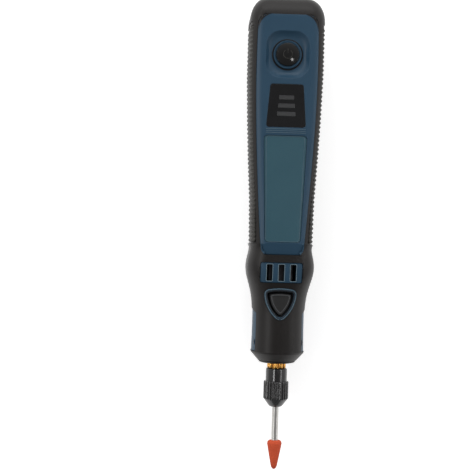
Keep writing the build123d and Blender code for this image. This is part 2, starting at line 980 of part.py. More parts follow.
# The two ribbed grip strips, each one zigzag loft along its channel
rib_count = round(strip_length / rib_pitch)
for side, name in ((left, "left_grip_strip"), (right, "right_grip_strip")):
    with BuildPart() as grip_strip:
        for step in range(2 * rib_count + 1):
            station = strip_start + strip_length * step / (2 * rib_count)
            reach = rib_rise - rib_depth * (1 - step % 2)
            points = strip_points(grip_row(station), reach, -strip_depth, strip_spread_angle, side)
            with BuildSketch(cross_plane(station)):
                with BuildLine():
                    Polyline(*points, close=True)
                make_face()
        loft(ruled=True)
    grip_strip.part.label = name
    export_step(grip_strip.part, "parts/" + name + ".step")

# Inlay, lens and light bars in the front panel
with BuildPart() as front_inlay:
    add(upright(plate_outline(*inlay_shape, 0), axis_height, block_height))
    add(front_outer, mode=Mode.INTERSECT)
    add(front_sunk, mode=Mode.SUBTRACT)
front_inlay.part.label = "front_inlay"
export_step(front_inlay.part, "parts/front_inlay.step")

with BuildPart() as indicator_lens:
    add(upright(plate_outline(*lens_shape, 0), axis_height, block_height))
    add(front_proud, mode=Mode.INTERSECT)
    add(front_core, mode=Mode.SUBTRACT)
    add(light_bars(seat_gap, axis_height), mode=Mode.SUBTRACT)
indicator_lens.part.label = "indicator_lens"
export_step(indicator_lens.part, "parts/indicator_lens.step")

with BuildPart() as indicator_bars:
    add(light_bars(0, led_top + led_gap))
    add(front_proud, mode=Mode.INTERSECT)
indicator_bars.part.label = "indicator_bars"
export_step(indicator_bars.part, "parts/indicator_bars.step")

# Spindle lock button: a cap that follows the nose's curve, over a wider flange
with BuildPart() as lock_button:
    add(upright(shield_outline(lock_button_grow), lock_flange_top - lock_flange_gap, block_height))
    add(front_proud, mode=Mode.INTERSECT)
    add(
        upright(
            shield_outline(lock_flange_grow),
            lock_flange_top - lock_flange_gap - lock_flange_thickness,
            lock_flange_thickness,
        )
    )
    with BuildSketch(level_plane(lock_foot_level, lock_station)):
        Circle(spring_pocket_radius)
    extrude(amount=spring_pocket_depth, mode=Mode.SUBTRACT)
    with BuildSketch(level_plane(lock_foot_level, lock_station)):
        Circle(lock_pin_radius + running_clearance / 2)
    extrude(amount=spring_pocket_depth + lock_pin_seat, mode=Mode.SUBTRACT)
lock_button.part.label = "lock_button"
export_step(lock_button.part, "parts/lock_button.step")

# Power button: a domed cap on a flange
button_rim_level = dish_floor_level + button_ring_height + button_rim_height
dome_radius = (button_radius**2 + button_dome**2) / (2 * button_dome)
with BuildPart() as power_button:
    with BuildSketch(Plane(origin=(0, y_at(dish_center), 0), x_dir=(1, 0, 0), z_dir=(0, -1, 0))):
        with BuildLine():
            Polyline(
                (0, button_rim_level + button_dome),
                (0, button_foot_level),
                (button_radius + button_flange_width, button_foot_level),
                (button_radius + button_flange_width, button_foot_level + button_flange_thickness),
                (button_radius, button_foot_level + button_flange_thickness),
                (button_radius, button_rim_level),
            )
            RadiusArc((button_radius, button_rim_level), (0, button_rim_level + button_dome), -dome_radius)
        make_face()
    revolve(axis=Axis((0, y_at(dish_center), 0), (0, 0, 1)))
power_button.part.label = "power_button"
export_step(power_button.part, "parts/power_button.step")

# The switch under it: a square body with a well, and the plunger in the well
with BuildPart() as switch_body:
    with BuildSketch(level_plane(board_top, dish_center)):
        Rectangle(switch_body_size, switch_body_size)
    extrude(amount=switch_body_height)
    chamfer(switch_body.edges().filter_by(Axis.Z), switch_corner)
    with BuildSketch(level_plane(switch_top, dish_center)):
        Circle(plunger_radius + pocket_clearance)
    extrude(amount=-plunger_well_depth, mode=Mode.SUBTRACT)
switch_body.part.label = "switch_body"
export_step(switch_body.part, "parts/switch_body.step")

with BuildPart() as switch_plunger:
    with BuildSketch(level_plane(switch_top - plunger_overlap, dish_center)):
        Circle(plunger_radius)
    extrude(amount=button_foot_level - plunger_gap - switch_top + plunger_overlap)
    chamfer(switch_plunger.faces().sort_by(Axis.Z)[-1].edges(), plunger_gap)
switch_plunger.part.label = "switch_plunger"
export_step(switch_plunger.part, "parts/switch_plunger.step")

# Main board with its three lamps
with BuildPart() as main_board:
    with BuildSketch(level_plane(board_level, board_nose + board_length / 2)):
        RectangleRounded(board_width, board_length, board_post_radius)
    extrude(amount=board_thickness)
main_board.part.label = "main_board"
export_step(main_board.part, "parts/main_board.step")

with BuildPart() as indicator_lamps:
    for row in range(light_bar_count):
        station = lens_nose + light_bar_end_margin + row * light_bar_pitch
        with BuildSketch(level_plane(board_top, station)):
            Rectangle(led_size, led_size)
        extrude(amount=led_height)
indicator_lamps.part.label = "indicator_lamps"
export_step(indicator_lamps.part, "parts/indicator_lamps.step")

# Charge board with the charging socket on it, centred on the parting plane
with BuildPart() as charge_board:
    with BuildSketch(level_plane(charge_board_level, charge_board_start + charge_board_length / 2)):
        RectangleRounded(charge_board_width, charge_board_length, socket_corner)
    extrude(amount=charge_board_thickness)
charge_board.part.label = "charge_board"
export_step(charge_board.part, "parts/charge_board.step")

socket_mouth = housing_length - overmold_thickness
with BuildPart() as charging_socket:
    with BuildSketch(cross_plane(socket_mouth)):
        RectangleRounded(socket_width, socket_height, socket_corner)
        RectangleRounded(
            socket_width - 2 * socket_wall,
            socket_height - 2 * socket_wall,
            socket_corner - socket_wall,
            mode=Mode.SUBTRACT,
        )
    extrude(amount=socket_depth)
    with BuildSketch(cross_plane(socket_mouth - socket_depth + socket_wall)):
        RectangleRounded(socket_width, socket_height, socket_corner)
    extrude(amount=socket_wall)
    with BuildSketch(cross_plane(socket_mouth - socket_wall)):
        Rectangle(socket_tongue_width, socket_tongue_height)
    extrude(amount=socket_depth - 2 * socket_wall)
charging_socket.part.label = "charging_socket"
export_step(charging_socket.part, "parts/charging_socket.step")


# The cell: a can with its rolled crimp and its raised button end towards the tail
crimp = cell_end - cell_crimp_start
cell_axis = Axis((0, 0, cell_level), (0, 1, 0))
with BuildPart() as battery_cell:
    with BuildSketch(profile_plane(cell_level)):
        with BuildLine():
            Polyline(
                (cell_start + tab_thickness, 0),
                (cell_start + tab_thickness, cell_radius),
                (crimp - cell_crimp_length, cell_radius),
                (crimp - cell_crimp_length / 2, cell_radius - cell_crimp_depth),
                (crimp, cell_radius),
                (cell_end - cell_button_height, cell_radius),
                (cell_end - cell_button_height, cell_button_radius),
                (cell_end, cell_button_radius),
                (cell_end, 0),
                close=True,
            )
        make_face()
    revolve(axis=cell_axis)
battery_cell.part.label = "battery_cell"
export_step(battery_cell.part, "parts/battery_cell.step")

with BuildPart() as battery_tabs:
    for station in (cell_start + tab_thickness, cell_end + tab_thickness):
        with BuildSketch(cell_plane(station)):
            with Locations((0, tab_height / 2 - tab_width / 2)):
                Rectangle(tab_width, tab_height)
        extrude(amount=tab_thickness)
battery_tabs.part.label = "battery_tabs"
export_step(battery_tabs.part, "parts/battery_tabs.step")


# Motor: steel can with two flats, magnets, bush, end cap, brushes and terminals
def motor_section(radius, flat_height):
    with BuildSketch() as section:
        Circle(radius)
        Rectangle(2 * radius, flat_height, mode=Mode.INTERSECT)
    return section.sketch


can_inner_radius = motor_radius - motor_can_wall
can_inner_flat = motor_flat_height - 2 * motor_can_wall
with BuildPart() as motor_can:
    with BuildSketch(cross_plane(motor_end)):
        add(motor_section(motor_radius, motor_flat_height))
    extrude(amount=motor_length)
    with BuildSketch(cross_plane(motor_end)):
        add(motor_section(can_inner_radius, can_inner_flat))
    extrude(amount=motor_length - motor_can_front, mode=Mode.SUBTRACT)
    with BuildSketch(cross_plane(motor_start)):
        Circle(motor_boss_radius)
    extrude(amount=motor_boss_length)
    with BuildSketch(cross_plane(motor_start + motor_can_front)):
        Circle(bush_radius)
    extrude(amount=motor_can_front + motor_boss_length, mode=Mode.SUBTRACT)
motor_can.part.label = "motor_can"
export_step(motor_can.part, "parts/motor_can.step")

with BuildPart() as motor_bush:
    with BuildSketch(cross_plane(motor_start + motor_can_front)):
        Circle(bush_radius)
        Circle(shaft_radius + running_clearance, mode=Mode.SUBTRACT)
    extrude(amount=bush_length)
motor_bush.part.label = "motor_bush"
export_step(motor_bush.part, "parts/motor_bush.step")

magnet_outer_radius = can_inner_radius - seat_gap
magnet_inner_radius = magnet_outer_radius - magnet_thickness
rotor_radius = magnet_inner_radius - air_gap
with BuildPart() as motor_magnets:
    with BuildSketch(cross_plane(motor_start + magnet_start + magnet_length)):
        for turn in (0, 180):
            with BuildLine():
                CenterArc((0, 0), magnet_outer_radius, turn - magnet_half_angle, 2 * magnet_half_angle)
                Line(
                    Vector(magnet_outer_radius, 0).rotate(Axis.Z, turn + magnet_half_angle),
                    Vector(magnet_inner_radius, 0).rotate(Axis.Z, turn + magnet_half_angle),
                )
                CenterArc((0, 0), magnet_inner_radius, turn + magnet_half_angle, -2 * magnet_half_angle)
                Line(
                    Vector(magnet_inner_radius, 0).rotate(Axis.Z, turn - magnet_half_angle),
                    Vector(magnet_outer_radius, 0).rotate(Axis.Z, turn - magnet_half_angle),
                )
            make_face()
    extrude(amount=magnet_length)
motor_magnets.part.label = "motor_magnets"
export_step(motor_magnets.part, "parts/motor_magnets.step")

commutator_start = motor_start + rotor_start + rotor_length + coil_overhang + commutator_gap
commutator_end = commutator_start + commutator_length
with BuildPart() as motor_end_cap:
    with BuildSketch(cross_plane(end_cap_end)):
        add(motor_section(motor_radius, motor_flat_height))
    extrude(amount=end_cap_thickness)
    with BuildSketch(cross_plane(motor_end)):
        add(motor_section(can_inner_radius - seat_gap, can_inner_flat - 2 * seat_gap))
        Circle(can_inner_flat / 2 - motor_can_wall, mode=Mode.SUBTRACT)
    extrude(amount=end_cap_spigot)
    with BuildSketch(cross_plane(end_cap_end + end_cap_boss_length)):
        Circle(motor_boss_radius)
    extrude(amount=end_cap_boss_length)
    with BuildSketch(cross_plane(end_cap_end)):
        Circle(shaft_radius + running_clearance)
    extrude(amount=end_cap_thickness, mode=Mode.SUBTRACT)
motor_end_cap.part.label = "motor_end_cap"
export_step(motor_end_cap.part, "parts/motor_end_cap.step")

with BuildPart() as motor_brushes:
    for turn in (-1, 1):
        with BuildSketch(cross_plane(motor_end)):
            with Locations((0, turn * (commutator_radius + brush_gap + brush_thickness / 2))):
                Rectangle(brush_width, brush_thickness)
        extrude(amount=motor_end - commutator_start)
motor_brushes.part.label = "motor_brushes"
export_step(motor_brushes.part, "parts/motor_brushes.step")

with BuildPart() as motor_terminals:
    for turn in (-1, 1):
        with BuildSketch(cross_plane(end_cap_end + terminal_length)):
            with Locations((0, turn * terminal_offset)):
                Rectangle(terminal_width, terminal_thickness)
        extrude(amount=terminal_length)
motor_terminals.part.label = "motor_terminals"
export_step(motor_terminals.part, "parts/motor_terminals.step")

# Rotor: shaft, three-pole core, coils and commutator
with BuildPart() as motor_shaft:
    with BuildSketch(cross_plane(end_cap_end)):
        Circle(shaft_radius)
    extrude(amount=end_cap_end - hub_end + hub_bore_depth)
motor_shaft.part.label = "motor_shaft"
export_step(motor_shaft.part, "parts/motor_shaft.step")

rotor_end = motor_start + rotor_start + rotor_length
pole_turns = [360 * pole / pole_count + 90 for pole in range(pole_count)]
with BuildPart() as rotor_core:
    with BuildSketch(cross_plane(rotor_end)):
        Circle(rotor_hub_radius)
        for turn in pole_turns:
            with Locations(Location((0, 0, 0), (0, 0, turn))):
                with Locations((rotor_radius / 2 - rotor_shoe / 4, 0)):
                    Rectangle(rotor_radius - rotor_shoe / 2, rotor_web)
            with BuildLine():
                CenterArc((0, 0), rotor_radius, turn - rotor_shoe_half_angle, 2 * rotor_shoe_half_angle)
                Line(
                    Vector(rotor_radius, 0).rotate(Axis.Z, turn + rotor_shoe_half_angle),
                    Vector(rotor_radius - rotor_shoe, 0).rotate(Axis.Z, turn + rotor_shoe_half_angle),
                )
                CenterArc(
                    (0, 0),
                    rotor_radius - rotor_shoe,
                    turn + rotor_shoe_half_angle,
                    -2 * rotor_shoe_half_angle,
                )
                Line(
                    Vector(rotor_radius - rotor_shoe, 0).rotate(Axis.Z, turn - rotor_shoe_half_angle),
                    Vector(rotor_radius, 0).rotate(Axis.Z, turn - rotor_shoe_half_angle),
                )
            make_face()
        Circle(shaft_radius, mode=Mode.SUBTRACT)
    extrude(amount=rotor_length)
rotor_core.part.label = "rotor_core"
export_step(rotor_core.part, "parts/rotor_core.step")

coil_low = rotor_hub_radius + coil_clearance
coil_high = math.sqrt((rotor_radius - rotor_shoe) ** 2 - (coil_width / 2) ** 2) - coil_clearance
with BuildPart() as rotor_coils:
    for turn in pole_turns:
        angle = math.radians(turn)
        outward = Vector(math.cos(angle), 0, math.sin(angle))
        root = Vector(0, y_at(rotor_end - rotor_length / 2), axis_height) + outward * coil_low
        with BuildSketch(Plane(origin=root, x_dir=(0, 1, 0), z_dir=outward)):
            RectangleRounded(rotor_length + 2 * coil_overhang, coil_width, coil_overhang)
            Rectangle(rotor_length + 2 * coil_clearance, rotor_web + 2 * coil_clearance, mode=Mode.SUBTRACT)
        extrude(amount=coil_high - coil_low)
rotor_coils.part.label = "rotor_coils"
export_step(rotor_coils.part, "parts/rotor_coils.step")

with BuildPart() as commutator:
    with BuildSketch(cross_plane(commutator_end)):
        Circle(commutator_radius)
        Circle(shaft_radius, mode=Mode.SUBTRACT)
    extrude(amount=commutator_length)
commutator.part.label = "commutator"
export_step(commutator.part, "parts/commutator.step")

# Front ball bearing: outer race in the nose block, inner race on the spindle
ball_circle = (bearing_radius + bearing_bore_radius) / 2
ball_reach = bearing_ball_radius + bearing_ball_clearance
bearing_middle = bearing_start + bearing_width / 2
spindle_axis = Axis((0, 0, axis_height), (0, 1, 0))


def race(inner, outer):
    with BuildPart() as ring:
        with BuildSketch(cross_plane(bearing_end)):
            Circle(outer)
            Circle(inner, mode=Mode.SUBTRACT)
        extrude(amount=bearing_width)
        with BuildSketch(profile_plane(axis_height)):
            with Locations((bearing_middle, ball_circle)):
                Circle(ball_reach)
        revolve(axis=spindle_axis, mode=Mode.SUBTRACT)
    return ring.part


with BuildPart() as bearing_outer_race:
    add(race(bearing_radius - bearing_race_thickness, bearing_radius))
bearing_outer_race.part.label = "bearing_outer_race"
export_step(bearing_outer_race.part, "parts/bearing_outer_race.step")

with BuildPart() as bearing_inner_race:
    add(race(bearing_bore_radius, bearing_bore_radius + bearing_race_thickness))
bearing_inner_race.part.label = "bearing_inner_race"
export_step(bearing_inner_race.part, "parts/bearing_inner_race.step")

with BuildPart() as bearing_balls:
    with Locations(cross_plane(bearing_middle)):
        with PolarLocations(ball_circle, bearing_ball_count):
            Sphere(bearing_ball_radius)
bearing_balls.part.label = "bearing_balls"
export_step(bearing_balls.part, "parts/bearing_balls.step")

# Spindle: nut and threaded stub for the chuck, journal, lock disc with four holes, and
# a hub that takes the motor shaft
with BuildPart() as spindle:
    with BuildSketch(cross_plane(nut_end)):
        Circle(stub_radius)
    extrude(amount=stub_length)
    with BuildSketch(cross_plane(-nut_setback)):
        Circle(nut_radius)
        with PolarLocations(nut_radius, nut_flute_count):
            Circle(nut_flute_radius, mode=Mode.SUBTRACT)
    extrude(amount=nut_length)
    with BuildSketch(cross_plane(lock_disc_end)):
        Circle(bearing_bore_radius)
    extrude(amount=lock_disc_end + nut_setback)
    with BuildSketch(cross_plane(lock_disc_end)):
        Circle(lock_disc_radius)
    extrude(amount=lock_disc_width)
    chamfer(spindle.edges().filter_by(GeomType.CIRCLE).sort_by(SortBy.RADIUS)[-2:], lock_hole_clearance)
    with BuildSketch(cross_plane(hub_end)):
        Circle(hub_radius)
    extrude(amount=hub_length)
    with BuildSketch(cross_plane(hub_end)):
        Circle(shaft_radius)
    extrude(amount=hub_bore_depth, mode=Mode.SUBTRACT)
    for hole in range(lock_hole_count):
        angle = 2 * math.pi * hole / lock_hole_count
        outward = Vector(math.sin(angle), 0, math.cos(angle))
        mouth = Vector(0, y_at(lock_station), axis_height) + outward * (lock_disc_radius + overrun)
        with BuildSketch(Plane(origin=mouth, x_dir=(0, 1, 0), z_dir=outward)):
            Circle(lock_pin_radius + lock_hole_clearance)
        extrude(amount=-lock_hole_depth - overrun, mode=Mode.SUBTRACT)
    with BuildSketch(level_plane(axis_height + shaft_radius, hub_end - hub_length / 2)):
        Circle(grub_radius + seat_gap)
    extrude(amount=hub_radius, mode=Mode.SUBTRACT)
spindle.part.label = "spindle"
export_step(spindle.part, "parts/spindle.step")

with BuildPart() as grub_screw:
    with BuildSketch(level_plane(axis_height + shaft_radius + seat_gap, hub_end - hub_length / 2)):
        Circle(grub_radius)
    extrude(amount=grub_length)
    with BuildSketch(grub_screw.faces().sort_by(Axis.Z)[-1]):
        RegularPolygon(grub_radius / 2, 6)
    extrude(amount=-grub_length / 2, mode=Mode.SUBTRACT)
grub_screw.part.label = "grub_screw"
export_step(grub_screw.part, "parts/grub_screw.step")

# Spindle lock pin and its spring
lock_pin_foot = axis_height + lock_disc_radius + lock_pin_gap
lock_pin_head = lock_foot_level + spring_pocket_depth + lock_pin_seat
with BuildPart() as lock_pin:
    with BuildSketch(level_plane(lock_pin_foot, lock_station)):
        Circle(lock_pin_radius)
    extrude(amount=lock_pin_head - lock_pin_foot)
    chamfer(lock_pin.faces().sort_by(Axis.Z)[0].edges(), lock_hole_clearance)
lock_pin.part.label = "lock_pin"
export_step(lock_pin.part, "parts/lock_pin.step")

spring_foot = lock_shelf_top + spring_wire_radius + spring_end_gap
spring_head = lock_foot_level + spring_pocket_depth - spring_wire_radius - spring_end_gap
with BuildPart() as lock_spring:
    with BuildLine():
        coil = Helix(
            (spring_head - spring_foot) / spring_turns,
            spring_head - spring_foot,
            spring_radius,
            center=(0, y_at(lock_station), spring_foot),
        )
    with BuildSketch(Plane(origin=coil @ 0, z_dir=coil % 0)):
        Circle(spring_wire_radius)
    sweep(path=coil, is_frenet=True)
lock_spring.part.label = "lock_spring"
export_step(lock_spring.part, "parts/lock_spring.step")

# Chuck body: a smooth six-sided barrel screwed on the spindle's stub, with a spigot that
# turns inside the sleeve and a bore for the bit's shank
with BuildPart() as chuck_body:
    with BuildSketch(cross_plane(nut_end)):
        Circle(chuck_body_radius)
        with PolarLocations(2 * chuck_body_radius - chuck_flat_depth, chuck_flat_count):
            Rectangle(2 * chuck_body_radius, 2 * chuck_body_radius, mode=Mode.SUBTRACT)
    extrude(amount=chuck_body_length)
    with BuildSketch(cross_plane(sleeve_start)):
        Circle(chuck_spigot_radius)
    extrude(amount=chuck_spigot_length)
    with BuildSketch(cross_plane(nut_end)):
        Circle(stub_radius + seat_gap)
    extrude(amount=stub_length + seat_gap, mode=Mode.SUBTRACT)
    with BuildSketch(cross_plane(nut_end)):
        Circle(shank_radius + shank_clearance)
    extrude(amount=chuck_body_length + chuck_spigot_length, mode=Mode.SUBTRACT)
chuck_body.part.label = "chuck_body"
export_step(chuck_body.part, "parts/chuck_body.step")

# Chuck sleeve: ribbed barrel with a conical nose, bored to a cone that closes the jaws
jaw_slope = math.tan(math.radians(jaw_cone_angle))
cone_mouth_radius = sleeve_mouth_radius - sleeve_mouth_wall
sleeve_bore_radius = chuck_spigot_radius + sleeve_clearance
cone_bore_length = (sleeve_bore_radius - cone_mouth_radius) / jaw_slope
sleeve_back = sleeve_start - sleeve_gap
with BuildPart() as chuck_sleeve:
    with BuildSketch(profile_plane(axis_height)):
        with BuildLine():
            Polyline(
                (sleeve_back, sleeve_bore_radius),
                (sleeve_back, sleeve_radius - sleeve_rib_radius),
                (sleeve_back - sleeve_rib_radius, sleeve_radius),
                (cone_start, sleeve_radius),
                (chuck_end, sleeve_mouth_radius),
                (chuck_end, cone_mouth_radius),
                (chuck_end + cone_bore_length, sleeve_bore_radius),
                close=True,
            )
        make_face()
    revolve(axis=spindle_axis)
    with BuildSketch(cross_plane(sleeve_back - sleeve_rib_margin)):
        with PolarLocations(sleeve_radius, sleeve_rib_count):
            Circle(sleeve_rib_radius)
    extrude(amount=sleeve_length, mode=Mode.SUBTRACT)
chuck_sleeve.part.label = "chuck_sleeve"
export_step(chuck_sleeve.part, "parts/chuck_sleeve.step")

# Three jaws: a cone split in three, seated in the sleeve's cone and round the shank
jaw_tip_radius = cone_mouth_radius + jaw_tip_setback * jaw_slope - jaw_clearance
jaw_half_angle = math.pi / jaw_count
jaw_apex = jaw_slot / 2 / math.sin(jaw_half_angle)
wedge_side = 2 * sleeve_radius
wedge_far = jaw_apex + wedge_side * math.cos(jaw_half_angle)
wedge_half = wedge_side * math.sin(jaw_half_angle)
for jaw_number in range(jaw_count):
    turn = 360 * jaw_number / jaw_count + 90
    with BuildPart() as jaw:
        with BuildSketch(profile_plane(axis_height)):
            with BuildLine():
                Polyline(
                    (jaw_tip, shank_radius + shank_clearance),
                    (jaw_tip, jaw_tip_radius),
                    (jaw_tip + jaw_length, jaw_tip_radius + jaw_length * jaw_slope),
                    (jaw_tip + jaw_length, shank_radius + shank_clearance),
                    close=True,
                )
            make_face()
        revolve(axis=spindle_axis)
        with BuildSketch(cross_plane(jaw_tip + jaw_length + overrun)):
            with Locations(Location((0, 0, 0), (0, 0, turn))):
                Polygon((jaw_apex, 0), (wedge_far, wedge_half), (wedge_far, -wedge_half), align=None)
        extrude(amount=jaw_length + 2 * overrun, mode=Mode.INTERSECT)
    jaw.part.label = "jaw_" + str(jaw_number + 1)
    export_step(jaw.part, "parts/jaw_" + str(jaw_number + 1) + ".step")

# Bit: a straight steel shank with a pointed grinding stone on its end
with BuildPart() as bit_shank:
    with BuildSketch(cross_plane(shank_start)):
        Circle(shank_radius)
    extrude(amount=shank_start - shank_end)
    chamfer(bit_shank.faces().sort_by(Axis.Y)[-1].edges(), shank_chamfer)
bit_shank.part.label = "bit_shank"
export_step(bit_shank.part, "parts/bit_shank.step")

stone_round_radius = (stone_tip_radius**2 + stone_tip_round**2) / (2 * stone_tip_round)
with BuildPart() as grinding_stone:
    with BuildSketch(profile_plane(axis_height)):
        with BuildLine():
            Polyline(
                (stone_end, 0),
                (shank_end, 0),
                (shank_end, stone_base_radius),
                (shank_end - stone_shoulder_length, stone_shoulder_radius),
                (stone_end + stone_tip_round, stone_tip_radius),
            )
            RadiusArc((stone_end + stone_tip_round, stone_tip_radius), (stone_end, 0), -stone_round_radius)
        make_face()
    revolve(axis=spindle_axis)
grinding_stone.part.label = "grinding_stone"
export_step(grinding_stone.part, "parts/grinding_stone.step")

# Six screws from the back: cross-head, all in one group
with BuildPart() as housing_screws:
    for spot in screw_spots(0, True):
        with BuildSketch(spot):
            Circle(screw_shank_radius)
        extrude(amount=screw_length)
        with BuildSketch(spot):
            Circle(screw_head_radius)
        extrude(amount=-screw_head_height)
        with BuildSketch(spot.offset(-screw_head_height)):
            Rectangle(screw_cross_length, screw_cross_width)
            Rectangle(screw_cross_width, screw_cross_length)
        extrude(amount=screw_cross_depth, mode=Mode.SUBTRACT)
housing_screws.part.label = "housing_screws"
export_step(housing_screws.part, "parts/housing_screws.step")
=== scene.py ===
import json
import math

import bmesh
import bpy
from mathutils import Euler, Matrix, Vector
from mathutils.bvhtree import BVHTree


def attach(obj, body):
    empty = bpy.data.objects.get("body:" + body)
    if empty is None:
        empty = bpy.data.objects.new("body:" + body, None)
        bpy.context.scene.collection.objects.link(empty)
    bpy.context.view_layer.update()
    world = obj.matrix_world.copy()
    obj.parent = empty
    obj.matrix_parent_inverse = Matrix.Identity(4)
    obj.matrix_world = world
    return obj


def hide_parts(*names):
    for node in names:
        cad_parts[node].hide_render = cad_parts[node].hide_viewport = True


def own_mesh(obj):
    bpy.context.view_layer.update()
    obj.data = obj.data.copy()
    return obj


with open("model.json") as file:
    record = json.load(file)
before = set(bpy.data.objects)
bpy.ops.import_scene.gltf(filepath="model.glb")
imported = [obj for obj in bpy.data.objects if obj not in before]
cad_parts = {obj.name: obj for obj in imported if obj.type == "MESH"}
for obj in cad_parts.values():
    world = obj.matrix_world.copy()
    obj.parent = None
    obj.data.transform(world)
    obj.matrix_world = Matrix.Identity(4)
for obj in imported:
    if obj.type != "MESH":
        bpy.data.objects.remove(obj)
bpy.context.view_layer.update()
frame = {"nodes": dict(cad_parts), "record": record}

nodes = frame["nodes"]
slotOf = {part["node"]: part["material_slot"] for part in frame["record"]["subparts"]}
print("stage: frame loaded,", len(nodes), "nodes")

# Places in metres. A station is a distance in millimetres from the nose face towards the tail
noseY = -0.05545
axisZ = 0.015
aboveAll = 0.05

# Values that set the camera and the light
cameraValues = {
    "heightOverAxis": 0.5,
    "lens": 86.9,
    "shiftLeft": 0.01989,
    "shiftUp": 0.00018,
    "rollDegrees": 1.6,
    "leanDegrees": 2.0,
    "sensor": 36.0,
    "nearest": 0.01,
    "farthest": 20.0,
}
skyValues = {
    "overhead": 0.28,
    "overheadAt": 0.95,
    "low": 0.78,
    "lowAt": 0.35,
    "horizonAt": 0.02,
    "bitSide": 0.3,
    "tailSide": 1.6,
}
floorValues = {
    "size": 12.0,
    "level": -0.0002,
    "color": (0.86, 0.86, 0.86),
    "rough": 0.9,
    "glow": 0.56,
}
# Each lamp's place, the point it is aimed at, its size in metres and its power
lampValues = {
    "leftLight": dict(place=(-0.46, 0.13, 0.56), target=(0, 0.13, axisZ), size=(0.7, 0.05), power=1.3),
    "rightLight": dict(place=(0.58, 0.13, 0.40), target=(0, 0.13, axisZ), size=(0.7, 0.05), power=0.6),
    "keyLight": dict(place=(0.17, 0.02, 0.58), target=(0, 0.07, axisZ), size=(0.06, 0.06), power=0.12),
    "tailLight": dict(place=(0.0, 0.62, 0.40), target=(0, 0.02, axisZ), size=(0.6, 0.22), power=1.1),
}

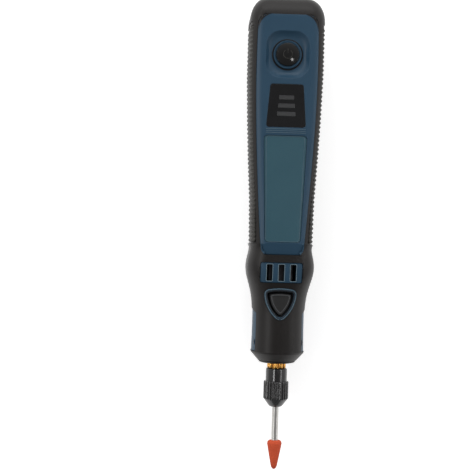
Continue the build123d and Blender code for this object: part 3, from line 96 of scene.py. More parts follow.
# Values of each finish: colour and second colour, roughness and its spread, grain size and
# bump height in metres, and what makes it metallic, coated, shiny or turned. edge is the
# radius in millimetres that its sharp edges are softened by
finishValues = {
    "soft_cover": dict(color=(0.0054, 0.0039, 0.0034), second=(0.0078, 0.0059, 0.0052), rough=0.43,
                       spread=0.10, grain=0.00025, bump=0.000012, shine=0.34),
    "grip_rubber": dict(color=(0.030, 0.0285, 0.0255), second=(0.043, 0.041, 0.037), rough=0.60,
                        spread=0.12, grain=0.0003, bump=0.00002, shine=0.3),
    "blue_shell": dict(color=(0.0155, 0.050, 0.090), second=(0.019, 0.058, 0.101), rough=0.42,
                       spread=0.08, grain=0.00018, bump=0.000006, shine=0.35, edge=0.4),
    "teal_inlay": dict(color=(0.020, 0.075, 0.104), second=(0.0235, 0.084, 0.114), rough=0.40,
                       spread=0.06, grain=0.0002, bump=0.000004, edge=0.15),
    "gloss_black": dict(color=(0.003, 0.003, 0.003), second=(0.0042, 0.0042, 0.0042), rough=0.10,
                        spread=0.05, grain=0.002, bump=0.000002, coat=0.25, shine=0.4, edge=0.3),
    "lens_black": dict(color=(0.005, 0.005, 0.0055), second=(0.007, 0.007, 0.008), rough=0.16,
                       spread=0.05, grain=0.003, bump=0.000002, coat=0.1, shine=0.35, edge=0.2),
    "light_guide": dict(color=(0.032, 0.0325, 0.034), second=(0.040, 0.041, 0.043), rough=0.35,
                        spread=0.08, grain=0.0005, bump=0.000004),
    "black_plastic": dict(color=(0.009, 0.009, 0.0093), second=(0.013, 0.013, 0.0133), rough=0.5,
                          spread=0.12, grain=0.0002, bump=0.000012, edge=0.3),
    "board_green": dict(color=(0.018, 0.085, 0.035), second=(0.035, 0.14, 0.06), rough=0.35,
                        spread=0.1, grain=0.0015, bump=0.000006),
    "lamp_white": dict(color=(0.72, 0.70, 0.62), second=(0.8, 0.78, 0.7), rough=0.25,
                       spread=0.05, grain=0.0005, bump=0.000002),
    "cell_wrap": dict(color=(0.02, 0.09, 0.28), second=(0.025, 0.11, 0.32), rough=0.28,
                      spread=0.08, grain=0.004, bump=0.00002, coat=0.3),
    "nickel": dict(color=(0.62, 0.60, 0.55), second=(0.5, 0.48, 0.45), rough=0.3, spread=0.1,
                   grain=0.0006, bump=0.000004, metal=1.0),
    "bright_steel": dict(color=(0.62, 0.61, 0.585), second=(0.52, 0.51, 0.49), rough=0.30,
                         spread=0.08, grain=0.00012, bump=0.000003, metal=1.0, turned=True),
    "can_steel": dict(color=(0.075, 0.075, 0.08), second=(0.055, 0.055, 0.06), rough=0.45,
                      spread=0.12, grain=0.001, bump=0.000004, metal=1.0),
    "magnet_grey": dict(color=(0.07, 0.07, 0.075), second=(0.1, 0.1, 0.105), rough=0.5,
                        spread=0.1, grain=0.0004, bump=0.00001, metal=0.4),
    "copper": dict(color=(0.62, 0.22, 0.09), second=(0.5, 0.16, 0.06), rough=0.3, spread=0.12,
                   grain=0.0004, bump=0.00001, metal=1.0, turned=True),
    "brass": dict(color=(0.74, 0.40, 0.10), second=(0.60, 0.29, 0.06), rough=0.16, spread=0.06,
                  grain=0.00012, bump=0.000003, metal=1.0, turned=True),
    "chuck_black": dict(color=(0.006, 0.006, 0.0062), second=(0.010, 0.010, 0.0103), rough=0.17,
                        spread=0.06, grain=0.00015, bump=0.000001, coat=0.4, turned=True),
    # Painted light on beads and rims whose slot has another name: the first is painted shade in dark navy,
    # the next three are painted highlights in lighter grey and blue
    # A dark navy that paints the shade on the inner flank of the shield's ring
    "painted_shade_blue": dict(color=(0.007, 0.013, 0.02), second=(0.01, 0.017, 0.026), rough=0.55,
                       spread=0.08, grain=0.00018, bump=0.000004),
    # A lighter grey that paints a highlight on the edge of the lock button's rim
    "painted_highlight_grey": dict(color=(0.05, 0.053, 0.057), second=(0.06, 0.063, 0.067), rough=0.4,
                      spread=0.08, grain=0.00018, bump=0.000004),
    # A lighter blue that paints highlights on the edges of the shield's crest, the panel steps and the
    # inlay's outline
    "painted_highlight_blue": dict(color=(0.062, 0.115, 0.155), second=(0.075, 0.13, 0.17), rough=0.35,
                      spread=0.08, grain=0.00018, bump=0.000004),
    # A pale blue that paints bright highlights on the vent rims
    "painted_highlight_rim": dict(color=(0.15, 0.215, 0.255), second=(0.17, 0.235, 0.275), rough=0.3,
                      spread=0.06, grain=0.00018, bump=0.000004),
    "stone": dict(color=(0.68, 0.094, 0.032), second=(0.46, 0.058, 0.020), rough=0.92,
                  spread=0.05, grain=0.0004, bump=0.0001),
}

# Values that the finishes share: how fine the grain is along a piece and round a turned one,
# the noise, how grain and cloud mix, and where the colours and the roughness change
mixValues = {
    "grainAlong": 1000, "grainRoundTurned": 60, "grainDetail": 4.0, "grainRough": 0.6,
    "cloudScale": 90.0, "cloudDetail": 3.0, "grainShare": 0.6, "cloudShare": 0.4,
    "firstTintAt": 0.35, "secondTintAt": 0.65, "smoothAt": 0.3, "roughAt": 0.7,
    "leastRough": 0.02, "edgeSamples": 6, "coatRough": 0.08, "shine": 0.5,
}


def makeFinish(name, values):
    material = bpy.data.materials.new(name)
    material.use_nodes = True
    tree = material.node_tree
    shader = tree.nodes["Principled BSDF"]
    place = tree.nodes.new("ShaderNodeTexCoord")
    spread = tree.nodes.new("ShaderNodeMapping")
    scale = 0.001 / values["grain"]
    alongGrain = mixValues["grainAlong"] * scale
    roundGrain = mixValues["grainRoundTurned"] * scale if values.get("turned") else alongGrain
    spread.inputs["Scale"].default_value = (roundGrain, alongGrain, roundGrain)
    tree.links.new(place.outputs["Object"], spread.inputs["Vector"])
    grain = tree.nodes.new("ShaderNodeTexNoise")
    grain.inputs["Scale"].default_value = 1.0
    grain.inputs["Detail"].default_value = mixValues["grainDetail"]
    grain.inputs["Roughness"].default_value = mixValues["grainRough"]
    tree.links.new(spread.outputs["Vector"], grain.inputs["Vector"])
    cloud = tree.nodes.new("ShaderNodeTexNoise")
    cloud.inputs["Scale"].default_value = mixValues["cloudScale"]
    cloud.inputs["Detail"].default_value = mixValues["cloudDetail"]
    tree.links.new(place.outputs["Object"], cloud.inputs["Vector"])
    blend = tree.nodes.new("ShaderNodeMath")
    blend.operation = "MULTIPLY_ADD"
    blend.inputs[1].default_value = mixValues["grainShare"]
    tree.links.new(grain.outputs["Fac"], blend.inputs[0])
    cloudPart = tree.nodes.new("ShaderNodeMath")
    cloudPart.operation = "MULTIPLY"
    cloudPart.inputs[1].default_value = mixValues["cloudShare"]
    tree.links.new(cloud.outputs["Fac"], cloudPart.inputs[0])
    tree.links.new(cloudPart.outputs["Value"], blend.inputs[2])
    tint = tree.nodes.new("ShaderNodeValToRGB")
    tint.color_ramp.elements[0].position = mixValues["firstTintAt"]
    tint.color_ramp.elements[1].position = mixValues["secondTintAt"]
    tint.color_ramp.elements[0].color = (*values["color"], 1)
    tint.color_ramp.elements[1].color = (*values["second"], 1)
    tree.links.new(blend.outputs["Value"], tint.inputs["Fac"])
    tree.links.new(tint.outputs["Color"], shader.inputs["Base Color"])
    shine = tree.nodes.new("ShaderNodeMapRange")
    shine.inputs["From Min"].default_value = mixValues["smoothAt"]
    shine.inputs["From Max"].default_value = mixValues["roughAt"]
    least = max(values["rough"] - values["spread"] / 2, mixValues["leastRough"])
    shine.inputs["To Min"].default_value = least
    shine.inputs["To Max"].default_value = min(values["rough"] + values["spread"] / 2, 1.0)
    tree.links.new(blend.outputs["Value"], shine.inputs["Value"])
    tree.links.new(shine.outputs["Result"], shader.inputs["Roughness"])
    bump = tree.nodes.new("ShaderNodeBump")
    bump.inputs["Strength"].default_value = 1.0
    bump.inputs["Distance"].default_value = values["bump"]
    tree.links.new(grain.outputs["Fac"], bump.inputs["Height"])
    if values.get("edge"):
        softEdge = tree.nodes.new("ShaderNodeBevel")
        softEdge.samples = mixValues["edgeSamples"]
        softEdge.inputs["Radius"].default_value = values["edge"] / 1000
        tree.links.new(softEdge.outputs["Normal"], bump.inputs["Normal"])
    tree.links.new(bump.outputs["Normal"], shader.inputs["Normal"])
    shader.inputs["Metallic"].default_value = values.get("metal", 0.0)
    shader.inputs["Coat Weight"].default_value = values.get("coat", 0.0)
    shader.inputs["Coat Roughness"].default_value = mixValues["coatRough"]
    shader.inputs["Specular IOR Level"].default_value = values.get("shine", mixValues["shine"])
    return material


finishes = {name: makeFinish(name, values) for name, values in finishValues.items()}
for name, node in nodes.items():
    node.data.materials.clear()
    node.data.materials.append(finishes[slotOf[name]])
print("stage: finishes made,", len(finishes))


# Helpers for the new pieces
def yAt(station):
    return noseY + station / 1000


def clearSelection():
    if bpy.context.object and bpy.context.object.mode != "OBJECT":
        bpy.ops.object.mode_set(mode="OBJECT")
    bpy.ops.object.select_all(action="DESELECT")


def sideName(side):
    return "left" if side < 0 else "right"


def treeOf(*meshes):
    shape = bmesh.new()
    for mesh in meshes:
        shape.from_mesh(mesh)
    tree = BVHTree.FromBMesh(shape)
    shape.free()
    return tree


def surfaceOf(*names):
    return treeOf(*[nodes[name].data for name in names])


def dropOn(piece, tree):
    for vertex in piece.data.vertices:
        hit = tree.ray_cast(Vector((vertex.co.x, vertex.co.y, aboveAll)), Vector((0, 0, -1)))[0]
        if hit is not None:
            vertex.co.z += hit.z


def selectOnly(piece):
    clearSelection()
    piece.select_set(True)
    bpy.context.view_layer.objects.active = piece


def applyPlace():
    bpy.ops.object.transform_apply(location=True, rotation=True, scale=True)


def applyAll(piece):
    selectOnly(piece)
    for modifier in list(piece.modifiers):
        bpy.ops.object.modifier_apply(modifier=modifier.name)


def finishPiece(piece, name, body, slot, smooth=35, finish=None):
    piece.name = name
    selectOnly(piece)
    applyPlace()
    bpy.ops.object.mode_set(mode="EDIT")
    bpy.ops.mesh.select_all(action="SELECT")
    bpy.ops.mesh.remove_doubles(threshold=0.000001)
    bpy.ops.mesh.normals_make_consistent(inside=False)
    bpy.ops.object.mode_set(mode="OBJECT")
    bpy.ops.object.shade_smooth_by_angle(angle=math.radians(smooth))
    piece.data.materials.clear()
    piece.data.materials.append(finishes[finish or slot])
    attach(piece, body)
    return piece


# A flat frame with rounded corners, wider at one end, laid on a curved surface. It is cut
# across every few millimetres, so that it follows the surface
frameValues = {"cornerSegments": 6, "cutEvery": 3, "edgeSegments": 2, "riseOverEdge": 2.2}


def addFrame(name, finish, tree, values):
    station = values["station"]
    length = values["length"]
    noseWide = values["noseWide"]
    clearSelection()
    bpy.ops.mesh.primitive_plane_add(size=1.0, location=(0, yAt(station + length / 2), 0))
    frameRing = bpy.context.object
    frameRing.scale = (noseWide / 1000, length / 1000, 1)
    applyPlace()
    for vertex in frameRing.data.vertices:
        if vertex.co.y > yAt(station + length / 2):
            vertex.co.x *= values["tailWide"] / noseWide
    bpy.ops.object.mode_set(mode="EDIT")
    bpy.ops.mesh.select_all(action="SELECT")
    bpy.ops.mesh.bevel(
        offset=values["corner"] / 1000, affect="VERTICES", segments=frameValues["cornerSegments"]
    )
    bpy.ops.mesh.select_all(action="SELECT")
    bpy.ops.mesh.inset(thickness=values["band"] / 1000)
    bpy.ops.mesh.delete(type="FACE")
    cuts = max(2, round(length / frameValues["cutEvery"]))
    for cut in range(1, cuts):
        bpy.ops.mesh.select_all(action="SELECT")
        bpy.ops.mesh.bisect(
            plane_co=(0, yAt(station + length * cut / cuts), 0), plane_no=(0, 1, 0)
        )
    bpy.ops.object.mode_set(mode="OBJECT")
    wall = frameRing.modifiers.new("wall", "SOLIDIFY")
    wall.thickness = 2 * values["rise"] / 1000
    wall.offset = 0
    applyAll(frameRing)
    edge = frameRing.modifiers.new("edge", "BEVEL")
    edge.width = values["rise"] / frameValues["riseOverEdge"] / 1000
    edge.segments = frameValues["edgeSegments"]
    edge.limit_method = "ANGLE"
    applyAll(frameRing)
    dropOn(frameRing, tree)
    return finishPiece(frameRing, name, "housing", "blue_shell", 35, finish)


# A separate copy of a node's mesh, its face borders merged
def copyOf(name):
    piece = bpy.data.objects.new(name + "_copy", nodes[name].data.copy())
    piece.matrix_world = nodes[name].matrix_world
    bpy.context.scene.collection.objects.link(piece)
    selectOnly(piece)
    bpy.ops.object.mode_set(mode="EDIT")
    bpy.ops.mesh.select_all(action="SELECT")
    bpy.ops.mesh.remove_doubles(threshold=0.000005)
    bpy.ops.object.mode_set(mode="OBJECT")
    bpy.ops.mesh.customdata_custom_splitnormals_clear()
    return piece


# The two grip strips again, their ribs rounded
gripValues = {"levels": 2, "smoothDegrees": 60}
for strip in ("left_grip_strip", "right_grip_strip"):
    piece = copyOf(strip)
    bpy.ops.object.mode_set(mode="EDIT")
    bpy.ops.mesh.select_all(action="SELECT")
    bpy.ops.mesh.tris_convert_to_quads()
    bpy.ops.object.mode_set(mode="OBJECT")
    smooth = piece.modifiers.new("smooth", "SUBSURF")
    smooth.levels = gripValues["levels"]
    applyAll(piece)
    finishPiece(piece, strip + "_round", "housing", slotOf[strip], gripValues["smoothDegrees"])
    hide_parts(strip)
print("stage: grips rounded")

# Power symbol on the button: an open ring and a bar, just proud of the dome
iconValues = {
    "station": 132.9, "ring": 1.9, "line": 0.2, "gapDegrees": 36, "sink": 0.16,
    "barShift": 0.7, "lineOverEdge": 3,
}


def addPowerSymbol():
    domeTree = surfaceOf("power_button")
    clearSelection()
    bpy.ops.mesh.primitive_torus_add(
        location=(0, yAt(iconValues["station"]), 0),
        major_radius=iconValues["ring"] / 1000,
        minor_radius=iconValues["line"] / 1000,
        major_segments=60,
        minor_segments=10,
    )
    ring = bpy.context.object
    applyPlace()
    bpy.ops.object.mode_set(mode="EDIT")
    bpy.ops.mesh.select_all(action="DESELECT")
    shape = bmesh.from_edit_mesh(ring.data)
    gap = math.radians(iconValues["gapDegrees"])
    for face in shape.faces:
        spot = face.calc_center_median()
        away = math.atan2(spot.x, spot.y - yAt(iconValues["station"]))
        face.select_set(abs(away) < gap)
    bmesh.update_edit_mesh(ring.data)
    bpy.ops.mesh.delete(type="FACE")
    bpy.ops.mesh.select_all(action="SELECT")
    bpy.ops.mesh.region_to_loop()
    bpy.ops.mesh.edge_face_add()
    bpy.ops.object.mode_set(mode="OBJECT")
    dropOn(ring, domeTree)
    ring.data.transform(Matrix.Translation((0, 0, -iconValues["sink"] / 1000)))
    finishPiece(ring, "power_symbol_ring", "power_button", "grip_rubber")
    clearSelection()
    bpy.ops.mesh.primitive_cylinder_add(
        vertices=12,
        radius=iconValues["line"] / 1000,
        depth=iconValues["ring"] / 1000,
        location=(0, yAt(iconValues["station"] + iconValues["ring"] * iconValues["barShift"]), 0),
        rotation=(math.radians(90), 0, 0),
    )
    bar = bpy.context.object
    soft = bar.modifiers.new("soft", "BEVEL")
    soft.width = iconValues["line"] / iconValues["lineOverEdge"] / 1000
    soft.segments = 2
    applyAll(bar)
    applyPlace()
    dropOn(bar, domeTree)
    bar.data.transform(Matrix.Translation((0, 0, -iconValues["sink"] / 1000)))
    finishPiece(bar, "power_symbol_bar", "power_button", "grip_rubber")


addPowerSymbol()

# Bezel round the button, a rounded ring on the dish floor, and a dark ring at its foot, painted shade where
# the dish floor meets the bezel
bezelValues = {"station": 132.9, "radius": 5.72, "line": 0.34, "level": 29.5, "lineSegments": 14}
shadeRingValues = {"station": 132.9, "radius": 6.42, "line": 0.3, "level": 28.78, "lineSegments": 12}


def addRoundRing(name, slot, values):
    clearSelection()
    bpy.ops.mesh.primitive_torus_add(
        location=(0, yAt(values["station"]), values["level"] / 1000),
        major_radius=values["radius"] / 1000,
        minor_radius=values["line"] / 1000,
        major_segments=96,
        minor_segments=values["lineSegments"],
    )
    finishPiece(bpy.context.object, name, "housing", slot, 60)


addRoundRing("button_bezel", "blue_shell", bezelValues)
addRoundRing("button_painted_shade_ring", "soft_cover", shadeRingValues)

# Rims round the three vent slots, in a pale blue: painted highlights on the slots' edges
shellTree = surfaceOf("front_shell")
ventValues = {
    "station": 35.6, "length": 7.6, "pitch": 5.1, "noseWide": 3.0, "tailWide": 3.0,
    "corner": 0.55, "band": 0.25, "rise": 0.16,
}
for column in (-1, 0, 1):
    rim = addFrame("vent_rim_" + str(column + 2), "painted_highlight_rim", shellTree, ventValues)
    rim.data.transform(Matrix.Translation((column * ventValues["pitch"] / 1000, 0, 0)))
print("stage: rims made")

# The shield's outline, of three arcs with rounded corners, at any distance inward. A bead is
# laid on a surface along it: inward is where it starts, band its width, rise its height
shieldValues = {
    "station": 25.9, "rear": 5.9, "apex": 7.7, "half": 6.9, "bulge": 0.9, "sideBulge": 2.3,
    "corner": 2.3, "leastCorner": 0.5, "arcSteps": 18, "beadSteps": 180, "beadSides": 8,
    "crest": {"inward": 0.08, "band": 0.42, "rise": 0.16},
    "innerPaintedShade": {"inward": 0.54, "band": 0.45, "rise": 0.1},
}


def arcPoints(first, middle, last, steps):
    ax, ay = first
    bx, by = middle
    cx, cy = last
    d = 2 * (ax * (by - cy) + bx * (cy - ay) + cx * (ay - by))
    aa, bb, cc = ax * ax + ay * ay, bx * bx + by * by, cx * cx + cy * cy
    ux = (aa * (by - cy) + bb * (cy - ay) + cc * (ay - by)) / d
    uy = (aa * (cx - bx) + bb * (ax - cx) + cc * (bx - ax)) / d
    start = math.atan2(ay - uy, ax - ux)
    turn = math.atan2(cy - uy, cx - ux) - start
    while turn > math.pi:
        turn -= 2 * math.pi
    while turn < -math.pi:
        turn += 2 * math.pi
    radius = math.hypot(ax - ux, ay - uy)
    angles = [start + turn * step / steps for step in range(steps)]
    return [(ux + radius * math.cos(angle), uy + radius * math.sin(angle)) for angle in angles]


def shieldPoints():
    half = shieldValues["half"]
    rear = shieldValues["rear"]
    apex = -shieldValues["apex"]
    middle = (rear + apex) / 2
    side = half / 2 + shieldValues["sideBulge"]
    steps = shieldValues["arcSteps"]
    return (
        arcPoints((half, rear), (0, rear + shieldValues["bulge"]), (-half, rear), steps)
        + arcPoints((-half, rear), (-side, middle), (0, apex), steps)
        + arcPoints((0, apex), (side, middle), (half, rear), steps)
    )


# The outline moved inward: the convex polygon is cut by each of its edges, moved
def insetPolygon(points, distance):
    kept = points
    for number, (ax, ay) in enumerate(points):
        bx, by = points[(number + 1) % len(points)]
        size = math.hypot(bx - ax, by - ay)
        nx, ny = -(by - ay) / size, (bx - ax) / size
        level = nx * ax + ny * ay + distance
        cut = []
        for spot, (px, py) in enumerate(kept):
            qx, qy = kept[(spot + 1) % len(kept)]
            here = nx * px + ny * py - level
            there = nx * qx + ny * qy - level
            if here >= 0:
                cut.append((px, py))
            if here * there < 0:
                share = here / (here - there)
                cut.append((px + (qx - px) * share, py + (qy - py) * share))
        kept = cut
    return kept


def shieldSpot(polygons, inward, direction):
    corner = max(shieldValues["corner"] - inward, shieldValues["leastCorner"])
    key = round(inward, 4)
    if key not in polygons:
        polygons[key] = insetPolygon(shieldPoints(), inward + corner)
    ux, uy = math.cos(direction), math.sin(direction)
    px, py = max(polygons[key], key=lambda point: point[0] * ux + point[1] * uy)
    return px + corner * ux, py + corner * uy


def addShieldBead(name, body, slot, tree, finish, values):
    ringRadius = 0.01
    lineRadius = 0.001
    clearSelection()
    bpy.ops.mesh.primitive_torus_add(
        major_radius=ringRadius,
        minor_radius=lineRadius,
        major_segments=shieldValues["beadSteps"],
        minor_segments=shieldValues["beadSides"],
    )
    bead = bpy.context.object
    polygons = {}
    for vertex in bead.data.vertices:
        direction = math.atan2(vertex.co.y, vertex.co.x)
        outward = (math.hypot(vertex.co.x, vertex.co.y) - ringRadius) / lineRadius
        inward = values["inward"] + values["band"] * (1 - outward) / 2
        across, along = shieldSpot(polygons, inward, direction)
        height = vertex.co.z * values["rise"]
        vertex.co = (across / 1000, yAt(shieldValues["station"] + along), height)
    dropOn(bead, tree)
    finishPiece(bead, name, body, slot, 60, finish)


# The shield's crest in a lighter blue: painted highlight along the ring's edge
addShieldBead("shield_crest", "housing", "blue_shell", shellTree, "painted_highlight_blue", shieldValues["crest"])
# An inner bead in dark navy: painted shade on the inner flank of the shield's ring
addShieldBead(
    "shield_inner_painted_shade", "housing", "blue_shell", shellTree, "painted_shade_blue", shieldValues["innerPaintedShade"]
)

# The lock button again, smaller than its opening, so that a dark gap shows
lockValues = {
    "above": 24.6, "sizeAcross": 0.83, "sizeAlong": 0.86, "center": 25.3,
    "pocketRadius": 3.0, "pocketTop": 26.5,
    "rim": {"inward": 2.75, "band": 0.34, "rise": 0.12},
}
lockCopy = copyOf("lock_button")
center = yAt(lockValues["center"])
for vertex in lockCopy.data.vertices:
    away = math.hypot(vertex.co.x, vertex.co.y - yAt(shieldValues["station"]))
    besidePocket = away >= lockValues["pocketRadius"] / 1000
    overPocket = vertex.co.z >= lockValues["pocketTop"] / 1000
    if vertex.co.z > lockValues["above"] / 1000 and (besidePocket or overPocket):
        vertex.co.x *= lockValues["sizeAcross"]
        vertex.co.y = center + (vertex.co.y - center) * lockValues["sizeAlong"]
lockCopy.data.update()
finishPiece(lockCopy, "lock_button_slim", "spindle_lock", "black_plastic", 30)
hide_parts("lock_button")
# A bead round the lock button's top in a lighter grey: painted highlight on its edge
addShieldBead(
    "lock_rim_painted_highlight", "spindle_lock", "black_plastic", treeOf(lockCopy.data), "painted_highlight_grey", lockValues["rim"]
)

# The lock's spring again, on a mesh of its own; the real spring shortens under the button
springCopy = copyOf("lock_spring")
finishPiece(springCopy, "lock_spring_coil", "housing", "bright_steel", 60)
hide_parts("lock_spring")
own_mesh(springCopy)
print("stage: shield and lock made")

# Fine steps across the panel between the lens and the inlay, in a lighter blue: painted highlights on their
# edges
stepValues = {
    "stations": (99.3, 100.1, 100.9), "wide": 17.0, "deep": 0.24, "rise": 0.12, "parts": 12, "edge": 0.04,
}
for number, station in enumerate(stepValues["stations"]):
    clearSelection()
    bpy.ops.mesh.primitive_cube_add(size=1.0, location=(0, yAt(station), 0))
    step = bpy.context.object
    step.scale = (
        stepValues["wide"] / 1000, stepValues["deep"] / 1000, 2 * stepValues["rise"] / 1000
    )
    applyPlace()
    bpy.ops.object.mode_set(mode="EDIT")
    for cut in range(1, stepValues["parts"]):
        bpy.ops.mesh.select_all(action="SELECT")
        across = (cut / stepValues["parts"] - 0.5) * stepValues["wide"] / 1000
        bpy.ops.mesh.bisect(plane_co=(across, 0, 0), plane_no=(1, 0, 0))
    bpy.ops.object.mode_set(mode="OBJECT")
    edge = step.modifiers.new("edge", "BEVEL")
    edge.width = stepValues["edge"] / 1000
    edge.segments = 2
    edge.limit_method = "ANGLE"
    applyAll(step)
    dropOn(step, shellTree)
    finishPiece(step, "panel_step_" + str(number + 1), "housing", "blue_shell", 35, "painted_highlight_blue")
print("stage: panel steps made")


# A closed ring or solid spun round the spindle axis from (station, radius) points
def spunPiece(profile, steps):
    clearSelection()
    first = profile[0]
    bpy.ops.mesh.primitive_plane_add(
        size=0.001, location=(first[1] / 1000, yAt(first[0]), axisZ)
    )
    piece = bpy.context.object
    applyPlace()
    bpy.ops.object.mode_set(mode="EDIT")
    bpy.ops.mesh.select_mode(type="VERT")
    bpy.ops.mesh.select_all(action="SELECT")
    bpy.ops.mesh.merge(type="CENTER")
    last = first
    for point in profile[1:]:
        step = ((point[1] - last[1]) / 1000, (point[0] - last[0]) / 1000, 0)
        bpy.ops.mesh.extrude_region_move(TRANSFORM_OT_translate={"value": step})
        last = point
    bpy.ops.mesh.select_all(action="SELECT")
    bpy.ops.mesh.spin(
        steps=steps, angle=math.radians(360), center=(0, 0, axisZ), axis=(0, 1, 0), use_auto_merge=True
    )
    bpy.ops.mesh.select_all(action="SELECT")
    bpy.ops.mesh.remove_doubles(threshold=0.000002)
    bpy.ops.object.mode_set(mode="OBJECT")
    return piece


# The stone again, with a rounded shoulder, a fuller cone and a round tip
stoneValues = {
    "profile": (
        (-34.7, 0.0), (-34.7, 1.2), (-34.7, 2.1), (-34.82, 2.5), (-35.1, 2.86), (-35.6, 3.12), (-36.2, 3.2),
        (-38.0, 2.88), (-40.0, 2.5), (-42.0, 2.12), (-44.0, 1.74), (-45.3, 1.49), (-46.1, 1.31),
        (-46.7, 1.05), (-47.15, 0.72), (-47.4, 0.38), (-47.5, 0.0),
    ),
    "steps": 96,
}
stone = spunPiece(stoneValues["profile"], stoneValues["steps"])
finishPiece(stone, "grinding_stone_round", "bit", "stone", 50)
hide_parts("grinding_stone")

# The sleeve again, with deep flutes that run out over the cone and a rounded mouth
sleeveValues = {
    "profile": (
        (-8.5, 4.6), (-8.5, 5.0), (-8.62, 5.3), (-8.9, 5.5), (-9.6, 5.5), (-12.0, 5.5), (-14.5, 5.5),
        (-15.6, 5.5), (-16.0, 5.5), (-16.2, 5.4), (-16.4, 5.28), (-16.6, 5.14), (-16.8, 5.0),
        (-17.0, 4.86), (-17.4, 4.57), (-17.9, 4.2), (-18.9, 3.44), (-19.4, 3.02), (-19.7, 2.7),
        (-19.86, 2.4), (-19.9, 2.15), (-18.59, 2.5), (-15.98, 3.2), (-12.06, 4.25), (-10.76, 4.6),
        (-8.5, 4.6),
    ),
    "outside": 5.5,
    "flutes": 26,
    "fluteDepth": 0.42,
    "fluteWidth": 1.6,
    "stepsEach": 8,
}
sleeve = spunPiece(sleeveValues["profile"], sleeveValues["flutes"] * sleeveValues["stepsEach"])
for vertex in sleeve.data.vertices:
    radius = math.hypot(vertex.co.x, vertex.co.z - axisZ)
    around = math.atan2(vertex.co.z - axisZ, vertex.co.x)
    wave = 0.5 - 0.5 * math.cos(around * sleeveValues["flutes"])
    depth = sleeveValues["fluteDepth"] * wave ** sleeveValues["fluteWidth"]
    bottom = (sleeveValues["outside"] - depth) / 1000
    if radius > bottom:
        vertex.co.x *= bottom / radius
        vertex.co.z = axisZ + (vertex.co.z - axisZ) * bottom / radius
finishPiece(sleeve, "chuck_sleeve_fluted", "sleeve", "chuck_black", 50)
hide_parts("chuck_sleeve")

# The chuck body again, its rear edge rounded
chuckValues = {"rear": -2.8, "insideRadius": 4.7, "edge": 0.7, "segments": 5}
chuckCopy = copyOf("chuck_body")
bpy.ops.object.mode_set(mode="EDIT")
bpy.ops.mesh.select_mode(type="EDGE")
bpy.ops.mesh.select_all(action="DESELECT")
shape = bmesh.from_edit_mesh(chuckCopy.data)
for edge in shape.edges:
    edge.select_set(all(
        abs(vertex.co.y - yAt(chuckValues["rear"])) < 0.00002
        and math.hypot(vertex.co.x, vertex.co.z - axisZ) > chuckValues["insideRadius"] / 1000
        for vertex in edge.verts
    ))
bmesh.update_edit_mesh(chuckCopy.data)
bpy.ops.mesh.bevel(
    offset=chuckValues["edge"] / 1000, segments=chuckValues["segments"], affect="EDGES"
)
bpy.ops.object.mode_set(mode="OBJECT")
finishPiece(chuckCopy, "chuck_body_round", "spindle", "chuck_black", 40)
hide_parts("chuck_body")

# The spindle again, its nut slimmed, and nine lobes round the nut
nutValues = {
    "slim": 3.25, "slimFrom": -3, "slimTo": -0.2, "front": -2.75, "rear": -0.45,
    "lobes": 9, "lobeRadius": 0.95, "lobeCenter": 3.2, "lobeEdge": 0.3, "firstDegrees": 20,
}
spindleCopy = copyOf("spindle")
for vertex in spindleCopy.data.vertices:
    station = (vertex.co.y - noseY) * 1000
    radius = math.hypot(vertex.co.x, vertex.co.z - axisZ) * 1000
    onNut = nutValues["slimFrom"] < station < nutValues["slimTo"]
    if onNut and radius > nutValues["slim"]:
        vertex.co.x *= nutValues["slim"] / radius
        vertex.co.z = axisZ + (vertex.co.z - axisZ) * nutValues["slim"] / radius
finishPiece(spindleCopy, "spindle_slim_nut", "spindle", "brass", 30)
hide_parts("spindle")
clearSelection()
bpy.ops.mesh.primitive_cylinder_add(
    vertices=24,
    radius=nutValues["lobeRadius"] / 1000,
    depth=(nutValues["rear"] - nutValues["front"]) / 1000,
    location=(
        nutValues["lobeCenter"] / 1000, yAt((nutValues["rear"] + nutValues["front"]) / 2), axisZ
    ),
    rotation=(math.radians(90), 0, 0),
)
lobe = bpy.context.object
applyPlace()
soft = lobe.modifiers.new("soft", "BEVEL")
soft.width = nutValues["lobeEdge"] / 1000
soft.segments = 4
soft.limit_method = "ANGLE"
applyAll(lobe)
for number in range(nutValues["lobes"]):
    turned = bpy.data.objects.new("lobe", lobe.data.copy())
    bpy.context.scene.collection.objects.link(turned)
    around = math.radians(nutValues["firstDegrees"] + 360 * number / nutValues["lobes"])
    turned.data.transform(
        Matrix.Translation((0, 0, axisZ))
        @ Matrix.Rotation(around, 4, "Y")
        @ Matrix.Translation((0, 0, -axisZ))
    )
    finishPiece(turned, "nut_lobe_" + str(number + 1), "spindle", "brass", 40)
bpy.data.objects.remove(lobe)

# A low lip that rounds the front of the nose
lipValues = {
    "profile": (
        (0.3, 4.75), (-0.4, 4.75), (-0.52, 4.9), (-0.55, 5.4), (-0.5, 6.2), (-0.36, 7.0), (-0.15, 7.7),
        (0.3, 8.1), (0.3, 4.75),
    ),
    "steps": 96,
}
lip = spunPiece(lipValues["profile"], lipValues["steps"])
finishPiece(lip, "nose_lip", "housing", "soft_cover", 40)
print("stage: bit, chuck and nut refined")

# A thin outline round the inlay in a lighter blue: painted highlight along the inlay's edge
inlayTree = surfaceOf("front_shell", "front_inlay")
inlayHighlightValues = {
    "station": 52.7, "length": 45.2, "noseWide": 14.5, "tailWide": 16.7,
    "corner": 1.3, "band": 0.2, "rise": 0.06,
}
addFrame("inlay_painted_highlight", "painted_highlight_blue", inlayTree, inlayHighlightValues)

